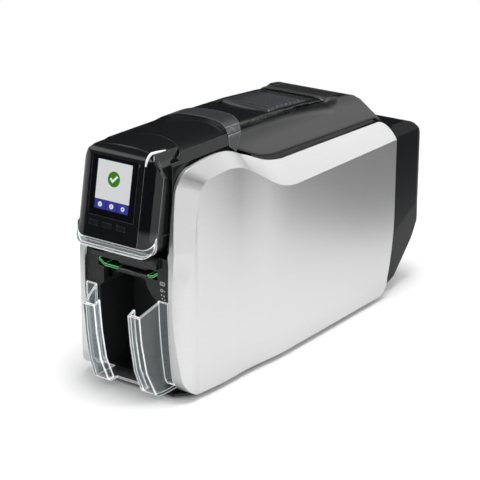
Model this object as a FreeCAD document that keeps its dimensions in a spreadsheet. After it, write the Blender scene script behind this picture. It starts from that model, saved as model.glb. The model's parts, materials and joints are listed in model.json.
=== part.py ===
import FreeCAD, Part
import math
import operator
import os
import Sketcher
from FreeCAD import Placement, Rotation, Vector

# Desktop card printer with a hinged hopper door and a hinged lid.
# X points to the viewer's right when facing the front, the front faces -Y and +Z is up.
# The origin is on the floor, under the centre of the bounding box. Lengths in millimetres.

SIZES = {
    # overall
    "half_width": 80.0,
    "rear_end": 240.0,
    "wall": 2.5,
    "steel": 1.5,
    "gap": 0.3,
    "overrun": 20.0,
    "running_fit": 0.08,
    # side panels, seen from the side
    "panel_bottom": 6.0,
    "panel_front_foot_y": -190.0,
    "panel_front_low_y": -211.0,
    "panel_front_low_z": 30.0,
    "panel_front_low_radius": 26.0,
    "panel_front_bow_radius": 610.0,
    "panel_front_high_y": -206.5,
    "panel_front_high_z": 218.0,
    "panel_shoulder_y": -183.0,
    "panel_shoulder_z": 242.0,
    "panel_shoulder_radius": 28.0,
    "crest_rise_radius": 172.0,
    "crest_y": -145.0,
    "crest_z": 246.3,
    "crest_fall_radius": 90.0,
    "wave_high_y": -108.4,
    "wave_high_z": 238.5,
    "wave_low_y": -80.0,
    "wave_low_z": 225.9,
    "valley_radius": 110.0,
    "valley_y": -38.0,
    "valley_z": 216.4,
    "panel_rear_top_y": 150.0,
    "panel_rear_top_z": 211.0,
    "panel_rear_top_radius": 22.0,
    "panel_rear_y": 168.5,
    "panel_rear_high_z": 192.0,
    "panel_rear_mid_z": 95.0,
    "panel_rear_bow_radius": 270.0,
    "panel_rear_low_y": 157.0,
    "panel_rear_low_z": 24.0,
    "panel_rear_foot_y": 143.0,
    "panel_rear_foot_radius": 18.0,
    # side panels, seen from above
    "seam_x": 53.8,
    "seam_gap": 0.5,
    "nose_radius": 24.0,
    "nose_reach": 28.0,
    "nose_x": 70.5,
    "nose_y": -190.0,
    "flank_radius": 420.0,
    "flank_x": 74.5,
    "flank_y": -120.0,
    "flare_radius": 340.0,
    "flare_x": 77.3,
    "flare_y": -82.0,
    "flare_end_y": -40.0,
    "panel_lip": 14.0,
    "panel_lip_nose_y": -188.0,
    # bevel along the top of the side panels
    "bevel_outer_x": 81.0,
    "bevel_inner_x": 50.0,
    "bevel_top_z": 320.0,
    "bevel_front_y": -260.0,
    "bevel_foot_z": 160.0,
    "bevel_outer_foot_y": -183.0,
    "bevel_inner_foot_y": -229.0,
    "bevel_outer_nose_y": -172.0,
    "bevel_outer_nose_z": 214.0,
    "bevel_inner_nose_y": -213.0,
    "bevel_inner_nose_z": 230.0,
    "bevel_outer_corner_radius": 16.0,
    "bevel_inner_corner_radius": 30.0,
    "bevel_outer_shoulder_y": -160.0,
    "bevel_outer_shoulder_z": 223.5,
    "bevel_inner_shoulder_y": -188.0,
    "bevel_inner_shoulder_z": 250.5,
    "bevel_rise_radius": 150.0,
    "bevel_outer_crest_y": -139.0,
    "bevel_outer_crest_z": 225.5,
    "bevel_inner_crest_y": -147.0,
    "bevel_inner_crest_z": 256.5,
    "bevel_fall_radius": 95.0,
    "bevel_outer_high_y": -104.0,
    "bevel_outer_high_z": 213.5,
    "bevel_inner_high_y": -110.0,
    "bevel_inner_high_z": 251.0,
    "bevel_outer_low_y": -73.0,
    "bevel_outer_low_z": 197.5,
    "bevel_inner_low_y": -86.0,
    "bevel_inner_low_z": 249.0,
    "bevel_valley_radius": 120.0,
    "bevel_outer_valley_y": -29.0,
    "bevel_outer_valley_z": 187.0,
    "bevel_inner_valley_y": -46.0,
    "bevel_inner_valley_z": 247.5,
    "bevel_outer_end_z": 186.5,
    "bevel_inner_end_z": 236.5,
    "bevel_end_y": 185.0,
    "bevel_wall_side": 2.1,
    "bevel_wall_up": 1.2,
    # base tray and feet
    "tray_bottom": 3.0,
    "tray_floor": 2.7,
    "tray_height": 20.0,
    "tray_ledge_inset": 4.0,
    "tray_front_y": -205.0,
    "tray_edge_gap": 0.4,
    "tray_nose_y": -176.0,
    "foot_radius": 8.0,
    "foot_half_span": 46.0,
    "foot_front_y": -170.0,
    "foot_rear_y": 140.0,
    "foot_seat": 1.0,
    # front bezel, under the door
    "bezel_set_back": 3.0,
    "bezel_top": 140.5,
    "bezel_rear_y": -150.0,
    "cavity_half_width": 36.0,
    "cavity_bottom": 14.0,
    "cavity_flare_z": 107.0,
    "cavity_neck_z": 118.0,
    "cavity_neck_half_width": 25.0,
    "cavity_top": 127.0,
    "cavity_rear_y": -160.0,
    "cheek_pocket_y": -205.0,
    "throat_half_width": 38.0,
    "throat_bottom": 128.5,
    "throat_top": 139.0,
    "throat_rear_y": -196.0,
    "notch_outer_x": 31.0,
    "notch_inner_x": 14.0,
    "thumb_recess_radius": 4.0,
    "thumb_recess_height": 5.0,
    "thumb_recess_depth": 2.0,
    "thumb_recess_y": -202.0,
    "thumb_recess_z": 118.5,
    # card path
    "card_path_z": 134.0,
    "card_half_width": 27.0,
    "slot_half_width": 28.0,
    "slot_height": 4.4,
    # light guides at both ends of the card slot
    "guide_outer_x": 37.7,
    "guide_thickness": 3.0,
    "guide_front_y": -212.0,
    "guide_rear_y": -197.0,
    "guide_turn_share": 0.8,
    "guide_left_reach": 12.0,
    "guide_right_reach": 25.0,
    # slot gate
    "gate_half_width": 26.0,
    "gate_pivot_y": -190.0,
    "gate_pivot_z": 138.0,
    "gate_radius": 1.6,
    "gate_drop": 5.5,
    "gate_journal": 3.0,
    "gate_journal_radius": 1.0,
    "gate_loop_x": 12.5,
    "gate_loop_width": 7.0,
    "gate_loop_reach": 6.0,
    "gate_thickness": 1.0,
    # door and module envelope
    "door_half_width": 49.8,
    "door_bottom": 153.5,
    "door_face_y": -239.0,
    "door_tilt_run": 19.5,
    "door_tilt_rise": 100.0,
    "door_corner_x": 34.0,
    "door_corner_radius": 20.0,
    "door_side_y": -231.0,
    "module_top": 259.0,
    "module_brow_radius": 16.0,
    "brow_share": 0.82,
    "module_rear_y": -91.5,
    "module_rear_radius": 75.0,
    "ridge_x": 45.0,
    "ridge_z": 254.5,
    "crown_radius": 228.0,
    "module_shoulder_z": 246.3,
    "door_round_low_z": 236.0,
    "door_round_radius": 51.0,
    "door_round_x": 37.0,
    "door_round_top_z": 257.0,
    "door_crown_radius": 346.0,
    "door_rear_side_y": -187.0,
    "door_rear_radius": 56.0,
    "door_side_rear_y": -206.5,
    "door_ridge_half_width": 45.5,
    "door_foot_rear_y": -214.0,
    "door_joint": 0.5,
    "window_x": 31.5,
    "window_rear_y": -190.0,
    "window_rim_height": 12.0,
    "window_joint": 0.15,
    # display and soft keys
    "display_left_x": -33.0,
    "display_right_x": 24.0,
    "display_bottom_z": 190.0,
    "display_top_z": 248.5,
    "display_glass_thickness": 1.6,
    "screen_margin": 3.0,
    "screen_thickness": 4.0,
    "key_pitch": 17.5,
    "key_middle_x": -7.5,
    "key_z": 182.5,
    "key_width": 11.0,
    "key_height": 4.6,
    "key_proud": 0.7,
    "key_length": 6.0,
    "key_clearance": 0.3,
    "key_flange": 1.2,
    "keypad_gap": 0.9,
    "keypad_thickness": 1.5,
    # door hinge
    "door_pin_x": -49.4,
    "door_pin_y": -217.0,
    "door_pin_radius": 1.5,
    "door_knuckle_radius": 2.6,
    "door_knuckle_low_z": 166.5,
    "door_knuckle_top_z": 204.5,
    "door_knuckle_length": 8.7,
    "door_notch_front_y": -222.5,
    "door_notch_reach": 4.2,
    "door_ear_reach": 9.0,
    "knuckle_gap": 0.3,
    # module cheeks and the shelf under the door
    "cheek_inner_x": 50.8,
    "cheek_set_back": 2.0,
    "shelf_top": 152.8,
    "shelf_bottom": 141.0,
    "shelf_front_y": -214.5,
    "visor_half_width": 41.0,
    "visor_reach": 4.0,
    "visor_height": 5.0,
    # card hopper
    "hopper_half_width": 28.0,
    "hopper_wall": 2.0,
    "hopper_front_y": -192.0,
    "hopper_rear_y": -103.5,
    "hopper_bottom": 158.0,
    "hopper_top": 238.0,
    "pusher_thickness": 6.0,
    "pusher_z": 226.0,
    "pusher_slot_y": -150.0,
    "pusher_slot_width": 6.0,
    # deck frame under the lid
    "deck_drop": 2.0,
    "deck_depth": 7.0,
    "deck_front_y": -176.0,
    "deck_rear_y": 158.0,
    "deck_opening_half_width": 51.0,
    "deck_opening_rear_y": 146.0,
    "rest_width": 3.4,
    "deck_tail_drop": 3.0,
    # lid
    "lid_half_width": 62.0,
    "lid_foot_z": 205.0,
    "lid_shoulder_z": 212.0,
    "lid_ridge_x": 46.5,
    "lid_ridge_z": 256.0,
    "lid_crop_z": 275.0,
    "lid_wave_lift": 3.2,
    "lid_top_front_z": 258.5,
    "lid_front_y": -126.0,
    "lid_top_flat_y": -55.0,
    "lid_top_rear_y": 122.0,
    "lid_top_rear_z": 245.5,
    "lid_top_radius": 1300.0,
    "lid_top_wall": 4.2,
    "lid_slope_top_y": 133.0,
    "lid_slope_top_z": 239.0,
    "lid_tail_y": 163.4,
    "lid_tail_z": 208.0,
    "lid_joint": 0.6,
    "lid_joint_y": -88.0,
    "band_lift": 3.5,
    "band_width": 27.0,
    "band_radius": 61.6,
    "band_half_width": 57.0,
    "band_side_lift": 1.0,
    "inlay_depth": 2.2,
    "inlay_half_width": 45.5,
    "inlay_side_y": -84.0,
    "inlay_rear_y": 118.0,
    "recess_half_width": 36.0,
    "recess_front_y": -22.0,
    "recess_front_radius": 60.0,
    "recess_rear_y": 72.0,
    "recess_floor_z": 247.0,
    "recess_wall": 2.0,
    # lid latch
    "latch_half_width": 25.0,
    "latch_front_y": -12.0,
    "latch_rear_y": 50.0,
    "latch_thickness": 4.0,
    "latch_rib_height": 1.2,
    "latch_rib_width": 1.6,
    "latch_rib_pitch": 6.4,
    "latch_rib_front_y": 0.0,
    "latch_travel": 6.0,
    "latch_post_y": -4.0,
    "latch_post_depth": 10.0,
    "latch_radius": 60.0,
    "tongue_clearance": 0.6,
    "tongue_half_width": 8.0,
    "tongue_thickness": 2.5,
    "tongue_z": 240.5,
    # lid hinge
    "lid_pin_y": 162.0,
    "lid_pin_z": 202.0,
    "lid_pin_radius": 1.6,
    "lid_knuckle_radius": 4.0,
    "lid_ear_rise": 5.0,
    "lid_ear_inner_x": 47.0,
    "lid_ear_outer_x": 52.0,
    "deck_ear_outer_x": 58.0,
    # print head, carried by the lid
    "head_half_width": 28.5,
    "head_front_y": -16.0,
    "head_rear_y": -2.0,
    "head_bottom": 139.4,
    "head_height": 16.0,
    "head_edge_y": -10.0,
    "head_edge_radius": 1.2,
    "fin_height": 6.0,
    "fin_thickness": 1.2,
    "fin_pitch": 6.9,
    "bracket_thickness": 2.0,
    "bracket_half_width": 24.0,
    "bracket_flange_y": 6.0,
    # mechanism frame
    "plate_x": 40.0,
    "plate_front_y": -145.0,
    "plate_rear_y": 150.0,
    "plate_step_y": -86.0,
    "plate_step_z": 146.0,
    "plate_top": 196.0,
    "plate_window_margin": 14.0,
    "bar_radius": 3.0,
    "bar_low_z": 40.0,
    "bar_inset": 12.0,
    "track_inner_x": 24.5,
    "track_height": 6.0,
    "track_thickness": 1.5,
    "track_relief": 1.5,
    "track_cross_front_y": -84.0,
    "track_cross_rear_y": 34.0,
    "track_cross_width": 10.0,
    # rollers and spools
    "roller_radius": 8.0,
    "roller_half_width": 24.0,
    "platen_half_width": 29.0,
    "shaft_radius": 3.0,
    "shaft_overhang": 6.0,
    "platen_y": -10.0,
    "front_feed_y": -110.0,
    "rear_feed_y": 70.0,
    "cleaner_y": -138.0,
    "pinch_radius": 5.0,
    "card_gap": 1.0,
    "pulley_radius": 10.0,
    "pulley_width": 5.0,
    "pulley_gap": 0.8,
    "belt_thickness": 1.4,
    "belt_clearance": 0.3,
    # gear pair
    "gear_module": 1.0,
    "gear_teeth": 36.0,
    "pinion_teeth": 12.0,
    "dedendum_share": 1.25,
    "addendum_share": 0.9,
    "gear_seat": 0.02,
    "gear_width": 5.0,
    "tooth_root_share": 0.34,
    "half_tooth_share": 0.5,
    "tooth_tip_share": 0.12,
    # motors
    "motor_half": 14.0,
    "motor_length": 30.0,
    "motor_shaft_radius": 1.5,
    # ribbon cartridge
    "cartridge_x": 39.6,
    "cartridge_wall": 2.0,
    "cartridge_step": 12.0,
    "cartridge_bar_height": 9.0,
    "cartridge_front_y": -80.0,
    "cartridge_rear_y": 56.0,
    "cartridge_top": 197.0,
    "cartridge_bottom": 160.0,
    "supply_y": 36.0,
    "takeup_y": -60.0,
    "spool_z": 178.0,
    "supply_radius": 15.0,
    "takeup_radius": 11.0,
    "core_radius": 6.0,
    "spool_half_width": 31.0,
    "spool_flange_radius": 17.0,
    "film_half_width": 29.0,
    "film_thickness": 0.5,
    "film_touch_share": 0.72,
    "film_turn": 7.0,
    "film_low_z": 138.2,
    # electronics
    "board_half_width": 37.0,
    "board_front_y": -140.0,
    "board_rear_y": 40.0,
    "board_z": 16.0,
    "board_thickness": 1.6,
    "board_post_x": 30.0,
    "board_inset": 8.0,
    "chip_size": 14.0,
    "chip_height": 2.5,
    "supply_box_half_width": 36.0,
    "supply_box_front_y": 52.0,
    "supply_box_rear_y": 140.0,
    "supply_box_height": 46.0,
    "slot_pitch": 8.0,
    # rear housing
    "rear_half_width": 76.0,
    "rear_front_y": 168.8,
    "rear_top_z": 203.0,
    "rear_flat_y": 196.0,
    "rear_flat_z": 201.5,
    "rear_brow_radius": 36.0,
    "rear_brow_y": 228.0,
    "rear_brow_z": 184.0,
    "rear_back_radius": 95.0,
    "rear_back_high_z": 146.0,
    "rear_back_low_y": 238.0,
    "rear_back_low_z": 96.0,
    "rear_tuck_radius": 220.0,
    "rear_tuck_y": 219.0,
    "rear_tuck_z": 54.0,
    "rear_tail_y": 184.0,
    "rear_tail_z": 17.0,
    "rear_foot_z": 12.0,
    "rear_corner_x": 62.0,
    "rear_corner_radius": 18.0,
    "rear_corner_y": 222.0,
    "rear_shoulder_z": 188.0,
    "rear_shoulder_x": 66.0,
    "rear_crease_z": 62.0,
    "rear_crease_rise": 46.0,
    "rear_crease_run": 100.0,
    "rear_tuck_in": 9.0,
    # sockets at the back
    "bay_half_width": 40.0,
    "bay_bottom": 66.0,
    "bay_top": 122.0,
    "bay_floor_y": 216.0,
    "bay_edge": 3.0,
    "vent_half_width": 30.0,
    "vent_low_z": 136.0,
    "lock_x": 54.0,
    "lock_z": 100.0,
    "lock_width": 3.0,
    "lock_height": 7.0,
    "inlet_x": 20.0,
    "inlet_z": 84.0,
    "inlet_half_width": 13.5,
    "inlet_half_height": 10.0,
    "inlet_depth": 22.0,
    "blade_pitch": 6.0,
    "usb_x": -10.0,
    "lan_x": -27.0,
    "port_z": 84.0,
    "usb_half": 6.0,
    "lan_half": 8.0,
    "port_depth": 16.0,
    "power_button_x": 20.0,
    "power_button_z": 108.0,
    "power_button_radius": 5.0,
    "power_button_proud": 2.0,
    # output bin
    "bin_front_y": -240.0,
    "bin_thickness": 2.2,
    "bin_flange_outer_x": 52.6,
    "bin_flange_inner_x": 40.5,
    "bin_side_front_x": 36.5,
    "bin_lip_x": 21.5,
    "bin_return": 9.0,
    "bin_notch_y": -208.0,
    "bin_top_front_z": 96.0,
    "bin_top_rear_z": 108.0,
    "bin_flange_bottom_z": 16.0,
    "bin_foot_y": -218.0,
    "bin_bow_z": 66.0,
    "bin_bow_y": -237.4,
    "bin_belly_z": 34.0,
    "bin_belly_y": -232.0,
    "bin_toe_z": 9.0,
    "bin_toe_y": -221.5,
    "bin_flange_set_off": 0.3,
    # screws
    "screw_radius": 1.5,
}

OPERATIONS = {"+": operator.add, "-": operator.sub, "*": operator.mul, "/": operator.truediv}


class Size:
    """A length, held as its value and as the sheet expression that gives it."""

    def __init__(self, value, text):
        self.value = value
        self.text = text

    def __add__(self, other):
        return joined(self, other, "+")

    def __radd__(self, other):
        return joined(other, self, "+")

    def __sub__(self, other):
        return joined(self, other, "-")

    def __rsub__(self, other):
        return joined(other, self, "-")

    def __mul__(self, other):
        return joined(self, other, "*")

    def __rmul__(self, other):
        return joined(other, self, "*")

    def __truediv__(self, other):
        return joined(self, other, "/")

    def __neg__(self):
        return Size(-self.value, "(0 - %s)" % self.text)


def number(size):
    return size.value if isinstance(size, Size) else float(size)


def wording(size):
    return size.text if isinstance(size, Size) else repr(float(size))


def joined(left, right, sign):
    value = OPERATIONS[sign](number(left), number(right))
    return Size(value, "(%s %s %s)" % (wording(left), sign, wording(right)))


def root(size):
    return Size(math.sqrt(size.value), "sqrt(%s)" % size.text)


class Sheet:
    """The spreadsheet of driving dimensions; each alias is an attribute."""

    def __init__(self, document):
        sheet = document.addObject("Spreadsheet::Sheet", "Sizes")
        for row, (alias, value) in enumerate(SIZES.items(), start=1):
            sheet.set("A%d" % row, alias)
            sheet.set("B%d" % row, str(value))
            sheet.setAlias("B%d" % row, alias)
            setattr(self, alias, Size(value, "Sizes." + alias))


doc = FreeCAD.newDocument("card_printer")
S = Sheet(doc)
doc.recompute()
ZERO = Size(0.0, "0")
NODES = []

PLANES = {
    "XY": (Rotation(), Vector(0, 0, 1), "z"),
    "XZ": (Rotation(Vector(1, 0, 0), 90), Vector(0, 1, 0), "y"),
    "YZ": (Rotation(Vector(1, 1, 1), 120), Vector(1, 0, 0), "x"),
}
AXIS_TURNS = {
    "x": Rotation(Vector(0, 1, 0), 90),
    "y": Rotation(Vector(1, 0, 0), -90),
    "z": Rotation(),
}


def bind(thing, name, size):
    """Ties a property to the sheet."""
    thing.setExpression(name, wording(size))


def place(thing, x=ZERO, y=ZERO, z=ZERO):
    for letter, size in (("x", x), ("y", y), ("z", z)):
        bind(thing, "Placement.Base." + letter, size)
    return thing


def middle_of_arc(start, end, radius, outward):
    """The middle point of an arc that bows to the outward side of its chord."""
    chord = end - start
    half = chord.Length / 2
    reach = abs(radius) - math.sqrt(max(radius * radius - half * half, 0.0))
    side = Vector(chord.y, -chord.x, 0) * (outward / chord.Length)
    if radius < 0:
        side = -side
    return (start + end) / 2 + side * reach


def draw(sketch, corners):
    """Draws and constrains a closed outline. A corner is (u, v), or (u, v, radius) where an
    arc of that radius leads to the next corner; a minus radius bows inward."""
    points = [Vector(number(c[0]), number(c[1]), 0) for c in corners]
    count = len(points)
    area = sum(p.x * q.y - q.x * p.y for p, q in zip(points, points[1:] + points[:1]))
    outward = 1.0 if area > 0 else -1.0
    ends = []
    for index, corner in enumerate(corners):
        start, end = points[index], points[(index + 1) % count]
        if len(corner) > 2:
            middle = middle_of_arc(start, end, number(corner[2]), outward)
            edge = sketch.addGeometry(Part.Arc(start, middle, end))
            apart = [sketch.getPoint(edge, end_mark).distanceToPoint(start) for end_mark in (1, 2)]
            ends.append((1, 2) if apart[0] < apart[1] else (2, 1))
            bow = corner[2] if number(corner[2]) > 0 else -corner[2]
            mark = sketch.addConstraint(Sketcher.Constraint("Radius", edge, number(bow)))
            sketch.setExpression("Constraints[%d]" % mark, bow.text)
        else:
            sketch.addGeometry(Part.LineSegment(start, end))
            ends.append((1, 2))
    for index, corner in enumerate(corners):
        following = (index + 1) % count
        tie = Sketcher.Constraint("Coincident", index, ends[index][1], following, ends[following][0])
        sketch.addConstraint(tie)
        for kind, size in (("DistanceX", corner[0]), ("DistanceY", corner[1])):
            here = Sketcher.Constraint(kind, -1, 1, index, ends[index][0], number(size))
            mark = sketch.addConstraint(here)
            if isinstance(size, Size):
                sketch.setExpression("Constraints[%d]" % mark, size.text)
    return sketch


def outline(name, plane, corners, level=ZERO, inset=None):
    """A free sketch on a plane parallel to the named one, drawn in by inset if that is given."""
    turn, _, letter = PLANES[plane]
    sketch = doc.addObject("Sketcher::SketchObject", name)
    sketch.Placement = Placement(Vector(), turn)
    draw(sketch, corners)
    bind(sketch, "Placement.Base." + letter, level)
    if inset is None:
        return sketch
    drawn_in = doc.addObject("Part::Offset2D", name + "_inset")
    drawn_in.Source = sketch
    drawn_in.Join = 2
    bind(drawn_in, "Value", -inset)
    return drawn_in


def extrude(name, sketch, direction, length):
    solid = doc.addObject("Part::Extrusion", name)
    solid.Base = sketch
    solid.DirMode = "Custom"
    solid.Dir = direction
    solid.Solid = True
    bind(solid, "LengthFwd", length)
    return solid


def prism(name, plane, corners, start, end, inset=None):
    """A solid with the given outline, running from start to end along the plane's axis."""
    sketch = outline(name + "_outline", plane, corners, start, inset)
    return extrude(name, sketch, PLANES[plane][1], end - start)


def box(name, x, y, z):
    solid = doc.addObject("Part::Box", name)
    for prop, (low, high) in (("Length", x), ("Width", y), ("Height", z)):
        bind(solid, prop, high - low)
    return place(solid, x[0], y[0], z[0])


def rod(name, axis, start, end, radius, x=ZERO, y=ZERO, z=ZERO):
    """A cylinder along an axis; x, y and z place the two other coordinates."""
    solid = doc.addObject("Part::Cylinder", name)
    solid.Placement = Placement(Vector(), AXIS_TURNS[axis])
    bind(solid, "Radius", radius)
    bind(solid, "Height", end - start)
    at = {"x": x, "y": y, "z": z}
    at[axis] = start
    return place(solid, **at)


def fuse(name, *solids):
    together = doc.addObject("Part::MultiFuse", name)
    together.Shapes = list(solids)
    together.Refine = True
    return together


def common(name, *solids):
    together = doc.addObject("Part::MultiCommon", name)
    together.Shapes = list(solids)
    return together


def cut(name, base, *tools):
    tool = tools[0] if len(tools) == 1 else fuse(name + "_tools", *tools)
    remains = doc.addObject("Part::Cut", name)
    remains.Base = base
    remains.Tool = tool
    return remains


def mirrored(name, solid):
    other = doc.addObject("Part::Mirroring", name)
    other.Source = solid
    other.Normal = Vector(1, 0, 0)
    return other


def node(label, solid):
    """Names a finished sub-part."""
    solid.Label = label
    NODES.append(solid)
    return solid


def body(label):
    part = doc.addObject("PartDesign::Body", label + "_body")
    return node(label, part)


def body_sketch(part, role, corners, offset=ZERO):
    sketch = part.newObject("Sketcher::SketchObject", part.Name + "_sketch")
    plane = [f for f in part.Origin.OriginFeatures if f.Role == role][0]
    sketch.AttachmentSupport = (plane, [""])
    sketch.MapMode = "FlatFace"
    bind(sketch, "AttachmentOffset.Base.z", offset)
    return draw(sketch, corners)


def pad(part, role, corners, length, offset=ZERO, midplane=False):
    feature = part.newObject("PartDesign::Pad", part.Name + "_pad")
    feature.Profile = body_sketch(part, role, corners, offset)
    bind(feature, "Length", length)
    feature.Midplane = midplane
    return feature


def pocket(part, role, corners, offset=ZERO):
    """A cut right through, both ways from its sketch."""
    feature = part.newObject("PartDesign::Pocket", part.Name + "_pocket")
    feature.Profile = body_sketch(part, role, corners, offset)
    feature.Type = "ThroughAll"
    feature.Midplane = True
    return feature


def turned(label, steps, y, z, axis="H_Axis"):
    """A revolved body along X: steps are (x, radius) pairs from left to right."""
    part = body(label)
    corners = [(steps[0][0], ZERO)]
    corners += [(x, radius) for x, radius in steps]
    corners += [(steps[-1][0], ZERO)]
    feature = part.newObject("PartDesign::Revolution", label + "_turn")
    sketch = body_sketch(part, "XY_Plane", corners)
    feature.Profile = sketch
    feature.ReferenceAxis = (sketch, [axis])
    feature.Angle = 360
    return place(part, ZERO, y, z)


def rectangle(u, v):
    return [(u[0], v[0]), (u[1], v[0]), (u[1], v[1]), (u[0], v[1])]


def draw_rounds(sketch, rounds):
    """Adds constrained circles: each is (u, v, radius)."""
    for u, v, radius in rounds:
        edge = sketch.addGeometry(Part.Circle(Vector(number(u), number(v), 0), Vector(0, 0, 1),
                                              number(radius)))
        for kind, size in (("DistanceX", u), ("DistanceY", v)):
            mark = sketch.addConstraint(Sketcher.Constraint(kind, -1, 1, edge, 3, number(size)))
            if isinstance(size, Size):
                sketch.setExpression("Constraints[%d]" % mark, size.text)
        mark = sketch.addConstraint(Sketcher.Constraint("Radius", edge, number(radius)))
        sketch.setExpression("Constraints[%d]" % mark, radius.text)
    return sketch


def body_rounds(part, role, rounds, offset=ZERO):
    """Round holes right through a body, both ways from their sketch."""
    feature = part.newObject("PartDesign::Pocket", part.Name + "_holes")
    sketch = part.newObject("Sketcher::SketchObject", part.Name + "_hole_sketch")
    plane = [f for f in part.Origin.OriginFeatures if f.Role == role][0]
    sketch.AttachmentSupport = (plane, [""])
    sketch.MapMode = "FlatFace"
    bind(sketch, "AttachmentOffset.Base.z", offset)
    feature.Profile = draw_rounds(sketch, rounds)
    feature.Type = "ThroughAll"
    feature.Midplane = True
    return feature


def circle_depth(reach, radius, x):
    """How far an arc's end lies behind its crown: the crown is at reach on the centre line."""
    return reach - radius + root(radius * radius - x * x)


def both_sides(right):
    """Closes a right-hand outline, listed front to back, with its mirror image. Arc radii are
    given on the corner that starts the arc."""
    left = []
    for index in range(len(right) - 1, -1, -1):
        corner = right[index]
        before = right[index - 1] if index > 0 else ()
        arc = (before[2],) if len(before) > 2 else ()
        left.append((-corner[0], corner[1]) + arc)
    return list(right) + left


def both_wide(half):
    return (-half, half)


floor_top = S.tray_bottom + S.tray_floor
lip_x = S.half_width - S.panel_lip
far_front = S.bevel_front_y
crown_z = S.module_top

# Side panels

panel_side = [
    (S.panel_front_foot_y, S.panel_bottom, S.panel_front_low_radius),
    (S.panel_front_low_y, S.panel_front_low_z, S.panel_front_bow_radius),
    (S.panel_front_high_y, S.panel_front_high_z, S.panel_shoulder_radius),
    (S.panel_shoulder_y, S.panel_shoulder_z, S.crest_rise_radius),
    (S.crest_y, S.crest_z, S.crest_fall_radius),
    (S.wave_high_y, S.wave_high_z),
    (S.wave_low_y, S.wave_low_z, -S.valley_radius),
    (S.valley_y, S.valley_z),
    (S.panel_rear_top_y, S.panel_rear_top_z, S.panel_rear_top_radius),
    (S.panel_rear_y, S.panel_rear_high_z),
    (S.panel_rear_y, S.panel_rear_mid_z, S.panel_rear_bow_radius),
    (S.panel_rear_low_y, S.panel_rear_low_z, S.panel_rear_foot_radius),
    (S.panel_rear_foot_y, S.panel_bottom),
]


def panel_plan(inset):
    """The right panel from above; inset moves the outer skin inward."""
    return [
        (S.seam_x, S.panel_front_low_y - S.overrun + inset),
        (S.seam_x, S.nose_y - S.nose_reach + inset, S.nose_radius),
        (S.nose_x - inset, S.nose_y, S.flank_radius),
        (S.flank_x - inset, S.flank_y, -S.flare_radius),
        (S.flare_x - inset, S.flare_y, S.flare_radius),
        (S.half_width - inset, S.flare_end_y),
        (S.half_width - inset, S.panel_rear_y + S.overrun),
    ]


def panel_inner(clearance):
    """The inner border of the right panel, pulled inward by the clearance."""
    return [
        (S.nose_x - S.panel_lip - clearance, S.tray_nose_y),
        (S.flank_x - S.panel_lip - clearance, S.flank_y),
        (lip_x - clearance, S.flare_end_y),
    ]


def panel_solid(name, inset):
    return prism(name, "YZ", panel_side, -S.bevel_outer_x, S.bevel_outer_x, inset)


def front_solid(name, back):
    """The panels' bowed front line, set back, as a solid that reaches well behind it."""
    return prism(name, "YZ", [
        (S.panel_front_foot_y + back, S.panel_bottom + back, S.panel_front_low_radius),
        (S.panel_front_low_y + back, S.panel_front_low_z, S.panel_front_bow_radius),
        (S.panel_front_high_y + back, S.panel_front_high_z, S.panel_shoulder_radius),
        (S.panel_shoulder_y + back, S.panel_shoulder_z - back),
        (S.crest_y, S.panel_shoulder_z - back),
        (S.crest_y, S.panel_bottom + back),
    ], -S.bevel_outer_x, S.bevel_outer_x)


def bevel(name):
    """What is cut away above the long bevel of the right panel."""
    inner = [
        (S.bevel_inner_foot_y, S.bevel_foot_z),
        (S.bevel_inner_nose_y, S.bevel_inner_nose_z, S.bevel_inner_corner_radius),
        (S.bevel_inner_shoulder_y, S.bevel_inner_shoulder_z, S.bevel_rise_radius),
        (S.bevel_inner_crest_y, S.bevel_inner_crest_z, S.bevel_fall_radius),
        (S.bevel_inner_high_y, S.bevel_inner_high_z),
        (S.bevel_inner_low_y, S.bevel_inner_low_z, -S.bevel_valley_radius),
        (S.bevel_inner_valley_y, S.bevel_inner_valley_z),
        (S.bevel_end_y, S.bevel_inner_end_z),
    ]
    outer = [
        (S.bevel_outer_foot_y, S.bevel_foot_z),
        (S.bevel_outer_nose_y, S.bevel_outer_nose_z, S.bevel_outer_corner_radius),
        (S.bevel_outer_shoulder_y, S.bevel_outer_shoulder_z, S.bevel_rise_radius),
        (S.bevel_outer_crest_y, S.bevel_outer_crest_z, S.bevel_fall_radius),
        (S.bevel_outer_high_y, S.bevel_outer_high_z),
        (S.bevel_outer_low_y, S.bevel_outer_low_z, -S.bevel_valley_radius),
        (S.bevel_outer_valley_y, S.bevel_outer_valley_z),
        (S.bevel_end_y, S.bevel_outer_end_z),
    ]
    around = [
        (S.bevel_end_y, S.bevel_top_z),
        (far_front, S.bevel_top_z),
        (far_front, S.bevel_foot_z),
    ]
    # both outlines run the other way round, so arcs that bow outward of the panel bow inward here
    turned_round = [c if len(c) < 3 else (c[0], c[1], -c[2]) for c in inner]
    turned_round_outer = [c if len(c) < 3 else (c[0], c[1], -c[2]) for c in outer]
    loft = doc.addObject("Part::Loft", name)
    loft.Sections = [
        outline(name + "_inner", "YZ", turned_round + around, S.bevel_inner_x),
        outline(name + "_outer", "YZ", turned_round_outer + around, S.bevel_outer_x),
    ]
    loft.Solid = True
    loft.Ruled = True
    return loft


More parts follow.
